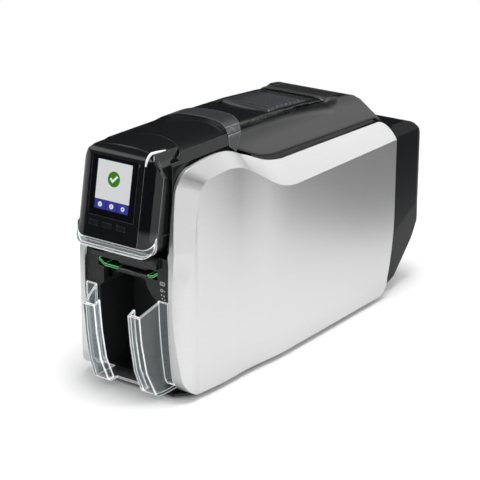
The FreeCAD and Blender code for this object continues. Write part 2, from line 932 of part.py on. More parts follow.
inner_lip = [(S.seam_x, S.panel_lip_nose_y)] + panel_inner(ZERO)
plan_outer = panel_plan(ZERO) + [(lip_x, S.panel_rear_y + S.overrun)] + inner_lip[::-1]
plan_inner = panel_plan(S.wall) + [
    (ZERO, S.panel_rear_y + S.overrun),
    (ZERO, S.panel_front_low_y - S.overrun + S.wall),
]
skin = common("panel_skin", panel_solid("panel_block", None),
              prism("panel_plan", "XY", plan_outer, ZERO, S.bevel_top_z))
hollow = common("panel_hollow", panel_solid("panel_hollow_block", S.wall),
                prism("panel_hollow_plan", "XY", plan_inner, ZERO, S.bevel_top_z))
sunk = bevel("bevel_inside")
place(sunk, -S.bevel_wall_side, ZERO, -S.bevel_wall_up)
hollow_under_bevel = cut("panel_hollow_bevelled", hollow, sunk)
bevelled = cut("panel_bevelled", skin, bevel("bevel"))
side_panel_right = node("side_panel_right", cut("panel_right", bevelled, hollow_under_bevel))
side_panel_left = node("side_panel_left", mirrored("panel_left", side_panel_right))

# Base tray and feet

ledge = S.tray_ledge_inset
tray_plan = both_sides([
    (S.seam_x - ledge, S.tray_front_y),
    (S.nose_x - ledge, S.nose_y + ledge),
    (S.flank_x - ledge, S.flank_y),
    (S.half_width - ledge, S.flare_end_y),
    (S.half_width - ledge, S.panel_rear_foot_y),
    (lip_x - ledge, S.rear_front_y - ledge),
])
rim_top = S.tray_bottom + S.tray_height
rim_outer = both_sides([
    (S.seam_x - S.tray_edge_gap, S.bezel_rear_y + S.tray_edge_gap),
    (S.flank_x - S.panel_lip - S.tray_edge_gap, S.flank_y),
    (lip_x - S.tray_edge_gap, S.flare_end_y),
    (lip_x - S.tray_edge_gap, S.rear_front_y - ledge),
])
tray_rim = cut("tray_rim",
               prism("tray_rim_block", "XY", rim_outer, S.tray_bottom, rim_top),
               prism("tray_rim_well", "XY", rim_outer, S.tray_bottom, rim_top + S.wall, S.wall))
posts = []
for x in (-S.board_post_x, S.board_post_x):
    for y in (S.board_front_y + S.board_inset, S.board_rear_y - S.board_inset):
        posts.append(rod("board_post", "z", S.tray_bottom, S.board_z - S.gap, S.bar_radius, x=x, y=y))
tray_floor = prism("tray_floor_block", "XY", tray_plan, S.tray_bottom, floor_top)
foot_spots = {
    "foot_front_left": (-S.foot_half_span, S.foot_front_y),
    "foot_front_right": (S.foot_half_span, S.foot_front_y),
    "foot_rear_left": (-S.foot_half_span, S.foot_rear_y),
    "foot_rear_right": (S.foot_half_span, S.foot_rear_y),
}
seats = [rod("foot_seat", "z", ZERO, S.tray_bottom + S.foot_seat, S.foot_radius + S.gap, x=x, y=y)
         for x, y in foot_spots.values()]
tray_whole = fuse("tray_whole", tray_floor, tray_rim, *posts)
base_tray = node("base_tray", cut("tray_seated", tray_whole, *seats))
for label, (x, y) in foot_spots.items():
    foot = body(label)
    disc = foot.newObject("PartDesign::AdditiveCylinder", label + "_disc")
    bind(disc, "Radius", S.foot_radius)
    bind(disc, "Height", S.tray_bottom + S.foot_seat)
    disc.Angle = 360
    doc.recompute()
    edge = [i for i, e in enumerate(disc.Shape.Edges, start=1)
            if len(e.Vertexes) == 1 and e.BoundBox.ZMax < number(S.foot_seat)]
    soft = foot.newObject("PartDesign::Chamfer", label + "_chamfer")
    soft.Base = (disc, ["Edge%d" % i for i in edge])
    bind(soft, "Size", S.foot_seat)
    place(foot, x, y, ZERO)

# Front bezel, light guides and slot gate

bezel_block = common("bezel_block", front_solid("bezel_front", S.bezel_set_back),
                     box("bezel_bounds", both_wide(S.seam_x - S.seam_gap),
                         (far_front, S.bezel_rear_y), (ZERO, S.bezel_top)))
cavity = [
    (-S.cavity_half_width, S.cavity_bottom),
    (S.cavity_half_width, S.cavity_bottom),
    (S.cavity_half_width, S.cavity_flare_z),
    (S.cavity_neck_half_width, S.cavity_neck_z),
    (S.cavity_neck_half_width - S.wall, S.cavity_top),
    (-S.cavity_neck_half_width + S.wall, S.cavity_top),
    (-S.cavity_neck_half_width, S.cavity_neck_z),
    (-S.cavity_half_width, S.cavity_flare_z),
]
slot_low = S.card_path_z - S.slot_height / 2
slot_high = S.card_path_z + S.slot_height / 2
pocket_x = (S.cavity_half_width + S.wall, S.seam_x - S.seam_gap - S.wall)
gate_end = S.gate_half_width + S.gap
bezel_cuts = [
    prism("bezel_cavity", "XZ", cavity, far_front, S.cavity_rear_y),
    box("bezel_throat_left", (-S.throat_half_width, -S.guide_left_reach + S.gap),
        (far_front, S.throat_rear_y), (S.throat_bottom, S.throat_top)),
    box("bezel_throat_right", (S.guide_right_reach - S.gap, S.throat_half_width),
        (far_front, S.throat_rear_y), (S.throat_bottom, S.throat_top)),
    box("bezel_notch", (-S.notch_outer_x, -S.notch_inner_x), (far_front, S.throat_rear_y),
        (S.cavity_flare_z, S.throat_bottom + S.gap)),
    box("bezel_slot", both_wide(S.slot_half_width), (far_front, S.bezel_rear_y + S.wall),
        (slot_low, slot_high)),
    box("bezel_pocket_right", pocket_x, (S.cheek_pocket_y, S.bezel_rear_y + S.wall),
        (S.cavity_bottom, S.cavity_top)),
    box("bezel_pocket_left", (-pocket_x[1], -pocket_x[0]),
        (S.cheek_pocket_y, S.bezel_rear_y + S.wall), (S.cavity_bottom, S.cavity_top)),
    box("bezel_gate_pocket", both_wide(gate_end),
        (S.throat_rear_y, S.gate_pivot_y + S.gate_drop + S.wall),
        (slot_low - S.wall, S.bezel_top + S.wall)),
    rod("bezel_gate_bores", "x", -gate_end - S.gate_journal, gate_end + S.gate_journal,
        S.gate_journal_radius + S.running_fit, y=S.gate_pivot_y, z=S.gate_pivot_z),
    fuse("bezel_thumb_recess",
         rod("thumb_low", "x", -S.cavity_half_width - S.thumb_recess_depth, ZERO,
             S.thumb_recess_radius, y=S.thumb_recess_y, z=S.thumb_recess_z),
         rod("thumb_high", "x", -S.cavity_half_width - S.thumb_recess_depth, ZERO,
             S.thumb_recess_radius, y=S.thumb_recess_y, z=S.thumb_recess_z + S.thumb_recess_height)),
]
front_bezel = node("front_bezel", cut("bezel_open", bezel_block, *bezel_cuts))


def guide(name, outer_x, inner_x):
    """A bent light guide: it runs along the throat's floor and turns up at its outer end."""
    thick = S.guide_thickness
    turn_x = outer_x * S.guide_turn_share
    corners = [
        (outer_x, S.throat_top - S.wall),
        (outer_x, S.throat_top - S.wall - thick),
        (turn_x, S.throat_bottom + S.gap),
        (inner_x, S.throat_bottom + S.gap),
        (inner_x, slot_low - S.gap),
        (turn_x, slot_low - S.gap),
    ]
    return node(name, prism(name + "_bar", "XZ", corners, S.guide_front_y, S.guide_rear_y))


light_guide_left = guide("light_guide_left", -S.guide_outer_x, -S.guide_left_reach)
light_guide_right = guide("light_guide_right", S.guide_outer_x, S.guide_right_reach)

gate_bar = rod("gate_bar", "x", -S.gate_half_width, S.gate_half_width, S.gate_radius,
               y=S.gate_pivot_y, z=S.gate_pivot_z)
gate_axle = rod("gate_axle", "x", -gate_end - S.gate_journal + S.gap,
                gate_end + S.gate_journal - S.gap, S.gate_journal_radius,
                y=S.gate_pivot_y, z=S.gate_pivot_z)
gate_flap = box("gate_flap", both_wide(S.gate_half_width),
                (S.gate_pivot_y - S.gate_thickness / 2, S.gate_pivot_y + S.gate_thickness / 2),
                (S.gate_pivot_z - S.gate_drop, S.gate_pivot_z))
loop = cut("gate_loop",
           box("gate_loop_plate", (S.gate_loop_x, S.gate_loop_x + S.gate_loop_width),
               (S.gate_pivot_y - S.gate_loop_reach, S.gate_pivot_y),
               (S.card_path_z - S.gate_thickness, S.card_path_z)),
           box("gate_loop_hole", (S.gate_loop_x + S.gate_thickness,
                                  S.gate_loop_x + S.gate_loop_width - S.gate_thickness),
               (S.gate_pivot_y - S.gate_loop_reach + S.gate_thickness,
                S.gate_pivot_y - S.gate_thickness),
               (ZERO, S.bezel_top)))
slot_gate = node("slot_gate", fuse("gate_whole", gate_bar, gate_axle, gate_flap, loop))

# Door envelope, shared by the door's pieces

tilt_run, tilt_rise = S.door_tilt_run, S.door_tilt_rise
tilt_slant = root(tilt_run * tilt_run + tilt_rise * tilt_rise)


def leaning(name, corners, low, high, inset=None):
    """A plan outline swept up from low to high along the lean of the door's face."""
    sketch = outline(name + "_outline", "XY", corners, low, inset)
    solid = extrude(name, sketch, Vector(0, number(tilt_run), number(tilt_rise)),
                    (high - low) * tilt_slant / tilt_rise)
    bind(solid, "Dir.y", tilt_run)
    bind(solid, "Dir.z", tilt_rise)
    return solid


def face_y(z, depth=ZERO):
    """Where the door's face stands at height z, plus a depth behind it."""
    return S.door_face_y + (z - S.door_bottom) * tilt_run / tilt_rise + depth


def crown(half_width, shoulder_z, bottom_z):
    """The front view of the module: upright sides, bevelled shoulders, curved top."""
    return [
        (-half_width, bottom_z),
        (half_width, bottom_z),
        (half_width, shoulder_z),
        (S.ridge_x, S.ridge_z, S.crown_radius),
        (-S.ridge_x, S.ridge_z),
        (-half_width, shoulder_z),
    ]


def door_crown(bottom_z):
    """The front view of the door: upright sides, rounded shoulders, slightly curved top."""
    return [
        (-S.door_half_width, bottom_z),
        (S.door_half_width, bottom_z),
        (S.door_half_width, S.door_round_low_z, S.door_round_radius),
        (S.door_round_x, S.door_round_top_z, S.door_crown_radius),
        (-S.door_round_x, S.door_round_top_z, S.door_round_radius),
        (-S.door_half_width, S.door_round_low_z),
    ]


brow_low = crown_z - S.module_brow_radius * S.brow_share


def brow_side(depth):
    """The side view of the door's rounded brow, sunk by a depth below the skin."""
    low, high = brow_low - depth, crown_z - depth
    return [
        (far_front, S.door_bottom - S.overrun),
        (far_front, low),
        (face_y(brow_low) + depth, low, S.module_brow_radius),
        (face_y(crown_z) + S.module_brow_radius * S.brow_share + depth, high),
        (S.module_rear_y, high),
        (S.module_rear_y, S.door_bottom - S.overrun),
    ]


door_plan = both_sides([
    (S.door_corner_x, S.door_face_y, S.door_corner_radius),
    (S.door_half_width, S.door_side_y),
    (S.door_half_width, S.module_rear_y),
])


def door_solid(name, inset, bottom_z):
    swept = leaning(name + "_sweep", door_plan, S.door_bottom, crown_z + S.overrun, inset)
    front = prism(name + "_front", "XZ", door_crown(bottom_z), far_front, S.module_rear_y, inset)
    side = prism(name + "_side", "YZ", brow_side(ZERO if inset is None else inset),
                 -S.door_half_width, S.door_half_width)
    return common(name, swept, front, side)


door_reach = [
    (S.door_half_width + S.overrun, far_front),
    (S.door_half_width + S.overrun, S.door_side_rear_y),
    (S.door_half_width, S.door_side_rear_y),
    (S.door_ridge_half_width, S.door_rear_side_y, S.door_rear_radius),
    (-S.door_ridge_half_width, S.door_rear_side_y),
    (-S.door_half_width, S.door_side_rear_y),
    (-S.door_half_width - S.overrun, S.door_side_rear_y),
    (-S.door_half_width - S.overrun, far_front),
]
door_outer = common("door_outer", door_solid("door_envelope", None, S.door_bottom),
                    prism("door_reach", "XY", door_reach, ZERO, S.bevel_top_z))
door_inner = door_solid("door_hollow", S.wall, S.door_bottom)
knuckle_at = {"x": S.door_pin_x, "y": S.door_pin_y}
low_knuckle = (S.door_knuckle_low_z, S.door_knuckle_low_z + S.door_knuckle_length)
top_knuckle = (S.door_knuckle_top_z - S.door_knuckle_length, S.door_knuckle_top_z)
door_barrels = [rod("door_barrel", "z", span[0], span[1], S.door_knuckle_radius, **knuckle_at)
                for span in (low_knuckle, top_knuckle)]
wide = both_wide(S.door_half_width + S.overrun)
door_body = cut("door_body", door_outer, door_inner,
                box("door_foot_cut", wide, (S.door_foot_rear_y, S.module_rear_y),
                    (ZERO, S.door_bottom + S.wall + S.gap)))
notch = box("door_notch", (-S.door_half_width - S.overrun, S.door_pin_x + S.door_notch_reach),
            (S.door_notch_front_y, S.module_rear_y),
            (low_knuckle[1], top_knuckle[0]))
rim_line = S.door_bottom + S.window_rim_height
door_upper = cut("door_upper", fuse("door_hinged", door_body, *door_barrels), notch,
                 rod("door_pin_bore", "z", S.door_bottom, S.door_knuckle_top_z + S.overrun,
                     S.door_pin_radius + S.running_fit, **knuckle_at),
                 box("below_rim", wide, (far_front, ZERO), (ZERO, rim_line)))
window_bounds = box("window_bounds", (S.window_x, wide[1]), (far_front, S.window_rear_y),
                    (ZERO, S.bevel_top_z))
door_window = node("door_window", common("window_cut", door_upper, window_bounds))
frame_side = cut("door_frame_side", door_upper,
                 box("window_room", (S.window_x - S.window_joint, wide[1]),
                     (far_front, S.window_rear_y + S.window_joint), (ZERO, S.bevel_top_z)))
glass_z = (S.display_bottom_z, S.display_top_z)


def on_face(x, depth, z):
    """A slab that follows the door's face: x and z give its spread, depth how far behind."""
    low, high = z
    corners = rectangle(x, (face_y(low, depth[0]), face_y(low, depth[1])))
    return leaning("slab", corners, low, high)


glass_x = (S.display_left_x, S.display_right_x)
screen_x = (glass_x[0] + S.screen_margin, glass_x[1] - S.screen_margin)
screen_z = (glass_z[0] + S.screen_margin, glass_z[1] - S.screen_margin)
key_half = (S.key_width / 2, S.key_height / 2)
key_x = {
    "soft_key_left": S.key_middle_x - S.key_pitch,
    "soft_key_middle": S.key_middle_x,
    "soft_key_right": S.key_middle_x + S.key_pitch,
}
room = S.window_joint
key_room = [on_face((x - key_half[0] - S.key_clearance, x + key_half[0] + S.key_clearance),
                    (-S.overrun, S.wall + S.overrun),
                    (S.key_z - key_half[1] - S.key_clearance, S.key_z + key_half[1] + S.key_clearance))
            for x in key_x.values()]
hopper_door = node("hopper_door", cut(
    "door_frame", frame_side,
    on_face((glass_x[0] - room, glass_x[1] + room), (-S.overrun, S.display_glass_thickness),
            (glass_z[0] - room, glass_z[1] + room)),
    on_face((screen_x[0] - room, screen_x[1] + room), (-S.overrun, S.wall + S.overrun),
            (screen_z[0] - room, screen_z[1] + room)),
    *key_room))
door_rim = node("door_rim", common(
    "rim_cut", door_body, box("rim_bounds", wide, (far_front, ZERO), (ZERO, rim_line - room))))
display_glass = node("display_glass", on_face(glass_x, (ZERO, S.display_glass_thickness - S.gap / 2),
                                              glass_z))
display_screen = node("display_screen", on_face(
    screen_x, (S.display_glass_thickness, S.display_glass_thickness + S.screen_thickness), screen_z))
for label, x in key_x.items():
    cap = on_face((x - key_half[0], x + key_half[0]), (-S.key_proud, S.key_length),
                  (S.key_z - key_half[1], S.key_z + key_half[1]))
    flange = on_face((x - key_half[0] - S.key_flange, x + key_half[0] + S.key_flange),
                     (S.wall + room, S.key_length),
                     (S.key_z - key_half[1] - S.key_flange, S.key_z + key_half[1] + S.key_flange))
    node(label, fuse(label + "_whole", cap, flange))
board_depth = (S.key_length + S.keypad_gap, S.key_length + S.keypad_gap + S.keypad_thickness)
keypad_board = node("keypad_board", on_face(
    (key_x["soft_key_left"] - S.key_width, key_x["soft_key_right"] + S.key_width), board_depth,
    (S.key_z - S.key_width / 2, S.key_z + S.key_width / 2)))
door_hinge_pin = node("door_hinge_pin", rod(
    "door_pin", "z", S.door_knuckle_low_z, S.door_knuckle_top_z, S.door_pin_radius, **knuckle_at))

# Hopper module behind the door

cheek_outer = S.seam_x - S.seam_gap
module_front = [
    (cheek_outer + S.overrun, S.door_side_rear_y + S.door_joint),
    (S.cheek_inner_x, S.door_side_rear_y + S.door_joint),
    (S.door_ridge_half_width + S.door_joint + S.door_joint, S.door_rear_side_y + S.door_joint,
     -S.door_rear_radius - S.door_joint - S.door_joint),
    (-S.door_ridge_half_width - S.door_joint - S.door_joint, S.door_rear_side_y + S.door_joint),
    (-S.cheek_inner_x, S.door_side_rear_y + S.door_joint),
    (-cheek_outer - S.overrun, S.door_side_rear_y + S.door_joint),
]
arc_end = circle_depth(S.module_rear_y, S.module_rear_radius, cheek_outer)
inner_radius = S.module_rear_radius - S.wall
inner_reach = S.module_rear_y - S.wall
inner_end = circle_depth(inner_reach, inner_radius, cheek_outer)
module_plan = module_front + [
    (-cheek_outer - S.overrun, arc_end),
    (-cheek_outer, arc_end, S.module_rear_radius),
    (cheek_outer, arc_end),
    (cheek_outer + S.overrun, arc_end),
]
module_shell = common(
    "module_shell",
    prism("module_front_view", "XZ", crown(cheek_outer, S.module_shoulder_z, S.shelf_bottom),
          far_front, ZERO),
    prism("module_plan_view", "XY", module_plan, ZERO, S.bevel_top_z))
cheeks = common("cheeks", front_solid("cheek_side", S.cheek_set_back),
                box("cheek_bounds", both_wide(cheek_outer), (far_front, S.door_rear_side_y),
                    (S.shelf_bottom, S.module_shoulder_z)))
visor = prism("visor", "YZ", [
    (S.shelf_front_y, S.shelf_top),
    (S.shelf_front_y - S.visor_reach, S.shelf_bottom + S.visor_height),
    (S.shelf_front_y - S.visor_reach, S.shelf_bottom + S.gap),
    (S.shelf_front_y + S.visor_reach, S.shelf_bottom + S.gap),
    (S.shelf_front_y + S.visor_reach, S.shelf_top),
], -S.visor_half_width, S.visor_half_width)
ear_span = (low_knuckle[1] + S.knuckle_gap, top_knuckle[0] - S.knuckle_gap)
fixed_ear = fuse(
    "fixed_ear",
    rod("fixed_barrel", "z", ear_span[0], ear_span[1], S.door_knuckle_radius, **knuckle_at),
    box("fixed_web", (-cheek_outer, -S.cheek_inner_x),
        (S.door_pin_y, S.door_pin_y + S.door_ear_reach), ear_span))
module_inside = common(
    "module_inside",
    prism("module_inside_front", "XZ", crown(cheek_outer, S.module_shoulder_z, S.bezel_top - S.overrun),
          far_front, ZERO, S.wall),
    prism("module_inside_plan", "XY", [
        (cheek_outer, S.hopper_front_y - S.wall),
        (cheek_outer, inner_end, inner_radius),
        (-cheek_outer, inner_end),
        (-cheek_outer, S.hopper_front_y - S.wall),
    ], ZERO, S.bevel_top_z))
module_housing = node("module_housing", cut(
    "module_open", fuse("module_block", module_shell, cheeks, visor, fixed_ear),
    module_inside,
    box("module_mouth", both_wide(S.cheek_inner_x), (far_front, S.hopper_front_y),
        (S.shelf_top, S.bevel_top_z)),
    box("module_underpass", both_wide(S.cheek_inner_x), (S.hopper_front_y, S.module_rear_y + S.wall),
        (ZERO, S.shelf_top)),
    rod("fixed_bore", "z", S.door_bottom, S.door_knuckle_top_z, S.door_pin_radius + S.running_fit,
        **knuckle_at),
    box("catch_slot", both_wide(S.tongue_half_width + S.gap), (inner_reach - S.wall, ZERO),
        (S.tongue_z - S.gap, S.tongue_z + S.tongue_thickness + S.gap))))

hopper_x = S.hopper_half_width + S.hopper_wall
hopper_block = box("hopper_block", both_wide(hopper_x), (S.hopper_front_y, S.hopper_rear_y),
                   (S.hopper_bottom, S.hopper_top))
hopper_well = box("hopper_well", both_wide(S.hopper_half_width),
                  (far_front, S.hopper_rear_y - S.hopper_wall),
                  (S.hopper_bottom + S.hopper_wall, S.bevel_top_z))
hopper_wings = box("hopper_wings", both_wide(S.cheek_inner_x - S.gap),
                   (S.hopper_front_y + S.wall + S.wall, inner_end - S.wall),
                   (S.hopper_bottom, S.hopper_bottom + S.hopper_wall))
pick_window = box("pick_window", both_wide(S.hopper_half_width / 2),
                  (S.front_feed_y - S.roller_radius, S.hopper_rear_y - S.hopper_wall),
                  (ZERO, S.hopper_top))
rail_cuts = [box("pusher_slot_right", (S.hopper_half_width - S.gap, hopper_x + S.overrun),
                 (S.pusher_slot_y, S.pusher_slot_y + S.pusher_slot_width),
                 (S.hopper_bottom + S.hopper_wall + S.wall, S.bevel_top_z))]
rail_cuts.append(mirrored("pusher_slot_left", rail_cuts[0]))
card_hopper = node("card_hopper", cut(
    "hopper_open", fuse("hopper_whole", hopper_block, hopper_wings), hopper_well, pick_window,
    *rail_cuts))
pusher_z = (S.pusher_z, S.pusher_z + S.pusher_thickness)
card_pusher = node("card_pusher", fuse(
    "pusher_whole",
    box("pusher_plate", both_wide(S.hopper_half_width - S.gap),
        (S.hopper_front_y + S.wall, S.hopper_rear_y - S.hopper_wall - S.gap), pusher_z),
    box("pusher_ears", both_wide(hopper_x + S.wall),
        (S.pusher_slot_y + S.gap, S.pusher_slot_y + S.pusher_slot_width - S.gap), pusher_z)))

# Deck frame between the panels, under the lid


def wave(shift, front_y, rear_y):
    """The panels' top line, shifted up or down, from front to rear."""
    return [
        (front_y, S.panel_shoulder_z + shift, S.crest_rise_radius),
        (S.crest_y, S.crest_z + shift, S.crest_fall_radius),
        (S.wave_high_y, S.wave_high_z + shift),
        (S.wave_low_y, S.wave_low_z + shift, -S.valley_radius),
        (S.valley_y, S.valley_z + shift),
        (S.panel_rear_top_y - S.wall, S.panel_rear_top_z + shift),
        (rear_y, S.panel_rear_top_z + shift - S.deck_tail_drop),
    ]


deck_top = wave(-S.deck_drop, S.deck_front_y, S.deck_rear_y)
under = deck_top[-1][1] - S.deck_depth
deck_low = [(c[0], c[1] - S.deck_depth) for c in deck_top[::-1]]
deck_plan = both_sides(panel_inner(S.gap + S.gap) + [(lip_x - S.gap - S.gap, S.deck_rear_y + S.wall)])
deck_band = common("deck_band",
                   prism("deck_side", "YZ", deck_top + deck_low, -S.half_width, S.half_width),
                   prism("deck_plan", "XY", deck_plan, ZERO, S.bevel_top_z))
lid_wall_x = S.lid_half_width - S.lid_ridge_x
crop_x = S.lid_ridge_x - lid_wall_x * (S.lid_crop_z - S.lid_ridge_z) / (S.lid_ridge_z - S.lid_shoulder_z)


def lid_front_view(name, start, end, grow=ZERO, low=None):
    """The lid's cross-section: leaning sides, cropped high above the top."""
    corners = [
        (-S.lid_half_width - grow, S.lid_foot_z if low is None else low),
        (S.lid_half_width + grow, S.lid_foot_z if low is None else low),
        (S.lid_half_width + grow, S.lid_shoulder_z),
        (crop_x + grow, S.lid_crop_z),
        (-crop_x - grow, S.lid_crop_z),
        (-S.lid_half_width - grow, S.lid_shoulder_z),
    ]
    return prism(name, "XZ", corners, start, end)


rest_top = wave(S.lid_wave_lift - S.gap, S.deck_front_y, S.deck_rear_y)
rest_low = [(c[0], c[1] - S.deck_depth) for c in rest_top[::-1]]
rest_ring = cut("rest_ring", lid_front_view("rest_outer", S.wave_low_y, S.deck_opening_rear_y, -S.gap),
                lid_front_view("rest_inner", far_front, S.rear_end, -S.gap - S.rest_width,
                               low=ZERO))
lid_rest = common("lid_rest", rest_ring,
                  prism("rest_side", "YZ", rest_top + rest_low, -S.half_width, S.half_width))
pin_at = {"y": S.lid_pin_y, "z": S.lid_pin_z}
deck_ears = []
for side in (1, -1):
    span = sorted([S.deck_ear_outer_x * side, (S.lid_ear_outer_x + S.knuckle_gap) * side], key=number)
    deck_ears.append(rod("deck_knuckle", "x", span[0], span[1], S.lid_knuckle_radius, **pin_at))
    deck_ears.append(box("deck_ear", span, (S.deck_opening_rear_y, S.lid_pin_y),
                         (S.lid_pin_z - S.lid_knuckle_radius, S.lid_pin_z + S.bar_radius)))
deck_frame = node("deck_frame", cut(
    "deck_open", fuse("deck_whole", deck_band, lid_rest, *deck_ears),
    box("deck_module_room", both_wide(cheek_outer + S.seam_gap), (far_front, S.lid_joint_y),
        (ZERO, S.bevel_top_z)),
    box("deck_mouth", both_wide(S.deck_opening_half_width), (far_front, S.deck_opening_rear_y),
        (ZERO, S.bevel_top_z)),
    box("deck_knuckle_room", both_wide(S.lid_ear_outer_x + S.knuckle_gap),
        (S.lid_pin_y - S.lid_knuckle_radius - S.deck_drop, S.rear_end), (ZERO, S.bevel_top_z)),
    rod("deck_bore", "x", -S.half_width, S.half_width, S.lid_pin_radius + S.running_fit, **pin_at)))

# Lid


def lid_side(name, drop, raised=ZERO):
    """The lid from the side: the crowned top down to the wave along the lower edge."""
    lift = S.lid_wave_lift - drop
    top = -drop + raised
    return prism(name, "YZ", [
        (S.lid_front_y, S.lid_top_front_z + top),
        (S.lid_top_flat_y, S.lid_top_front_z + top, S.lid_top_radius),
        (S.lid_top_rear_y, S.lid_top_rear_z + top),
        (S.lid_slope_top_y, S.lid_slope_top_z + top),
        (S.lid_tail_y, S.lid_tail_z + top),
        (S.panel_rear_top_y, S.panel_rear_top_z + lift),
        (S.valley_y, S.valley_z + lift, S.valley_radius),
        (S.wave_low_y, S.wave_low_z + lift),
        (S.wave_high_y, S.wave_high_z + lift),
        (S.lid_front_y, S.crest_z + lift),
    ], -S.half_width, S.half_width)


joint_radius = S.module_rear_radius + S.lid_joint
joint_reach = S.module_rear_y + S.lid_joint
joint_end = circle_depth(joint_reach, joint_radius, S.lid_half_width)


def behind_module(name, start, end):
    """Everything behind the module's curved back, from above."""
    return prism(name, "XY", [
        (S.half_width, joint_end),
        (S.lid_half_width, joint_end, -joint_radius),
        (-S.lid_half_width, joint_end),
        (-S.half_width, joint_end),
        (-S.half_width, S.rear_end),
        (S.half_width, S.rear_end),
    ], start, end)


lid_outer = common("lid_outer", lid_side("lid_side", ZERO),
                   lid_front_view("lid_front_view", S.lid_front_y, S.rear_end),
                   behind_module("lid_plan", ZERO, S.bevel_top_z))
hollow_low = prism("lid_hollow_side", "YZ", [
    (S.lid_front_y, S.lid_top_front_z - S.lid_top_wall),
    (S.lid_top_flat_y, S.lid_top_front_z - S.lid_top_wall, S.lid_top_radius),
    (S.lid_top_rear_y, S.lid_top_rear_z - S.lid_top_wall),
    (S.lid_slope_top_y - S.wall, S.lid_slope_top_z - S.lid_top_wall),
    (S.lid_tail_y - S.wall, S.lid_tail_z - S.lid_top_wall),
    (S.lid_tail_y - S.wall, ZERO),
    (S.lid_front_y, ZERO),
], -S.half_width, S.half_width)
lid_hollow = common("lid_hollow", hollow_low,
                    lid_front_view("lid_hollow_front", S.lid_front_y, S.rear_end, -S.wall, low=ZERO))
tub_floor = S.recess_floor_z - S.recess_wall
recess_plan = [
    (S.recess_half_width, S.recess_front_y),
    (S.recess_half_width, S.recess_rear_y),
    (-S.recess_half_width, S.recess_rear_y),
    (-S.recess_half_width, S.recess_front_y, S.recess_front_radius),
]
tub = common("tub", prism("tub_block", "XY", recess_plan, tub_floor, S.bevel_top_z, -S.recess_wall),
             lid_side("tub_top", S.recess_wall))
lid_ears = []
for side in (1, -1):
    span = sorted([S.lid_ear_inner_x * side, S.lid_ear_outer_x * side], key=number)
    lid_ears.append(rod("lid_knuckle", "x", span[0], span[1], S.lid_knuckle_radius, **pin_at))
    lid_ears.append(prism("lid_ear", "YZ", [
        (S.lid_tail_y, S.lid_tail_z),
        (S.lid_pin_y - S.lid_knuckle_radius, S.lid_tail_z + S.lid_ear_rise),
        (S.lid_pin_y - S.lid_knuckle_radius, S.lid_pin_z),
        (S.lid_pin_y, S.lid_pin_z - S.bar_radius),
        (S.lid_tail_y, S.lid_pin_z),
    ], span[0], span[1]))
inlay_plan = [
    (S.inlay_half_width, S.inlay_side_y),
    (S.inlay_half_width, S.inlay_rear_y),
    (-S.inlay_half_width, S.inlay_rear_y),
    (-S.inlay_half_width, S.inlay_side_y, -S.band_radius),
]
post_x = both_wide(S.tongue_half_width)
lid_cover = node("lid_cover", cut(
    "lid_open", fuse("lid_whole", cut("lid_skin", lid_outer, lid_hollow), tub, *lid_ears),
    cut("inlay_seat", prism("inlay_seat_plan", "XY", inlay_plan, ZERO, S.bevel_top_z),
        lid_side("inlay_seat_floor", S.inlay_depth)),
    prism("recess", "XY", recess_plan, S.recess_floor_z, S.bevel_top_z),
    box("post_slot", (post_x[0] - S.gap, post_x[1] + S.gap),
        (S.latch_post_y - S.gap, S.latch_post_y + S.latch_post_depth + S.latch_travel + S.gap),
        (ZERO, S.bevel_top_z)),
    rod("lid_bore", "x", -S.half_width, S.half_width, S.lid_pin_radius + S.running_fit, **pin_at)))
inlay_block = cut("inlay_block", common(
    "inlay_plate", prism("inlay_plan", "XY", inlay_plan, ZERO, S.bevel_top_z, S.window_joint),
    lid_side("inlay_top", ZERO)), lid_side("inlay_floor", S.inlay_depth))
lid_inlay = node("lid_inlay", cut("inlay_open", inlay_block,
                                  prism("inlay_recess", "XY", recess_plan, ZERO, S.bevel_top_z)))
band_end = circle_depth(S.module_rear_y + S.lid_joint + S.band_width, S.band_radius, S.band_half_width)
band_plan = [
    (S.band_half_width, joint_end),
    (S.band_half_width, band_end, S.band_radius),
    (-S.band_half_width, band_end),
    (-S.band_half_width, joint_end),
]
band_block = common("band_block", prism("band_plan", "XY", band_plan, ZERO, S.bevel_top_z),
                    behind_module("band_front", ZERO, S.bevel_top_z),
                    lid_side("band_side", ZERO, S.band_lift),
                    lid_front_view("band_front_view", S.lid_front_y, ZERO, S.band_side_lift))
band_saddle = common("band_saddle", lid_side("band_under", ZERO),
                     lid_front_view("band_saddle_front", S.lid_front_y, ZERO))
lid_band = node("lid_band", cut("band_whole", band_block, band_saddle))

latch_low = S.recess_floor_z + S.gap
latch_plate = prism("latch_plate", "XY", [
    (S.latch_half_width, S.latch_front_y),
    (S.latch_half_width, S.latch_rear_y),
    (-S.latch_half_width, S.latch_rear_y),
    (-S.latch_half_width, S.latch_front_y, S.latch_radius),
], latch_low, latch_low + S.latch_thickness)
ribs = []
for count in range(6):
    rib_y = S.latch_rib_front_y + S.latch_rib_pitch * count
    ribs.append(box("latch_rib", both_wide(S.latch_half_width - S.wall),
                    (rib_y, rib_y + S.latch_rib_width),
                    (latch_low + S.latch_thickness / 2,
                     latch_low + S.latch_thickness + S.latch_rib_height)))
tongue_front = S.module_rear_y + S.lid_joint + S.tongue_clearance
latch_post = box("latch_post", post_x, (S.latch_post_y, S.latch_post_y + S.latch_post_depth),
                 (S.tongue_z, latch_low + S.latch_thickness / 2))
tongue = box("tongue", post_x, (tongue_front, S.latch_post_y + S.latch_post_depth),
             (S.tongue_z, S.tongue_z + S.tongue_thickness))
lid_latch = node("lid_latch", fuse("latch_whole", latch_plate, latch_post, tongue, *ribs))
lid_hinge_rod = node("lid_hinge_rod", rod(
    "hinge_rod", "x", -S.deck_ear_outer_x, S.deck_ear_outer_x, S.lid_pin_radius, **pin_at))

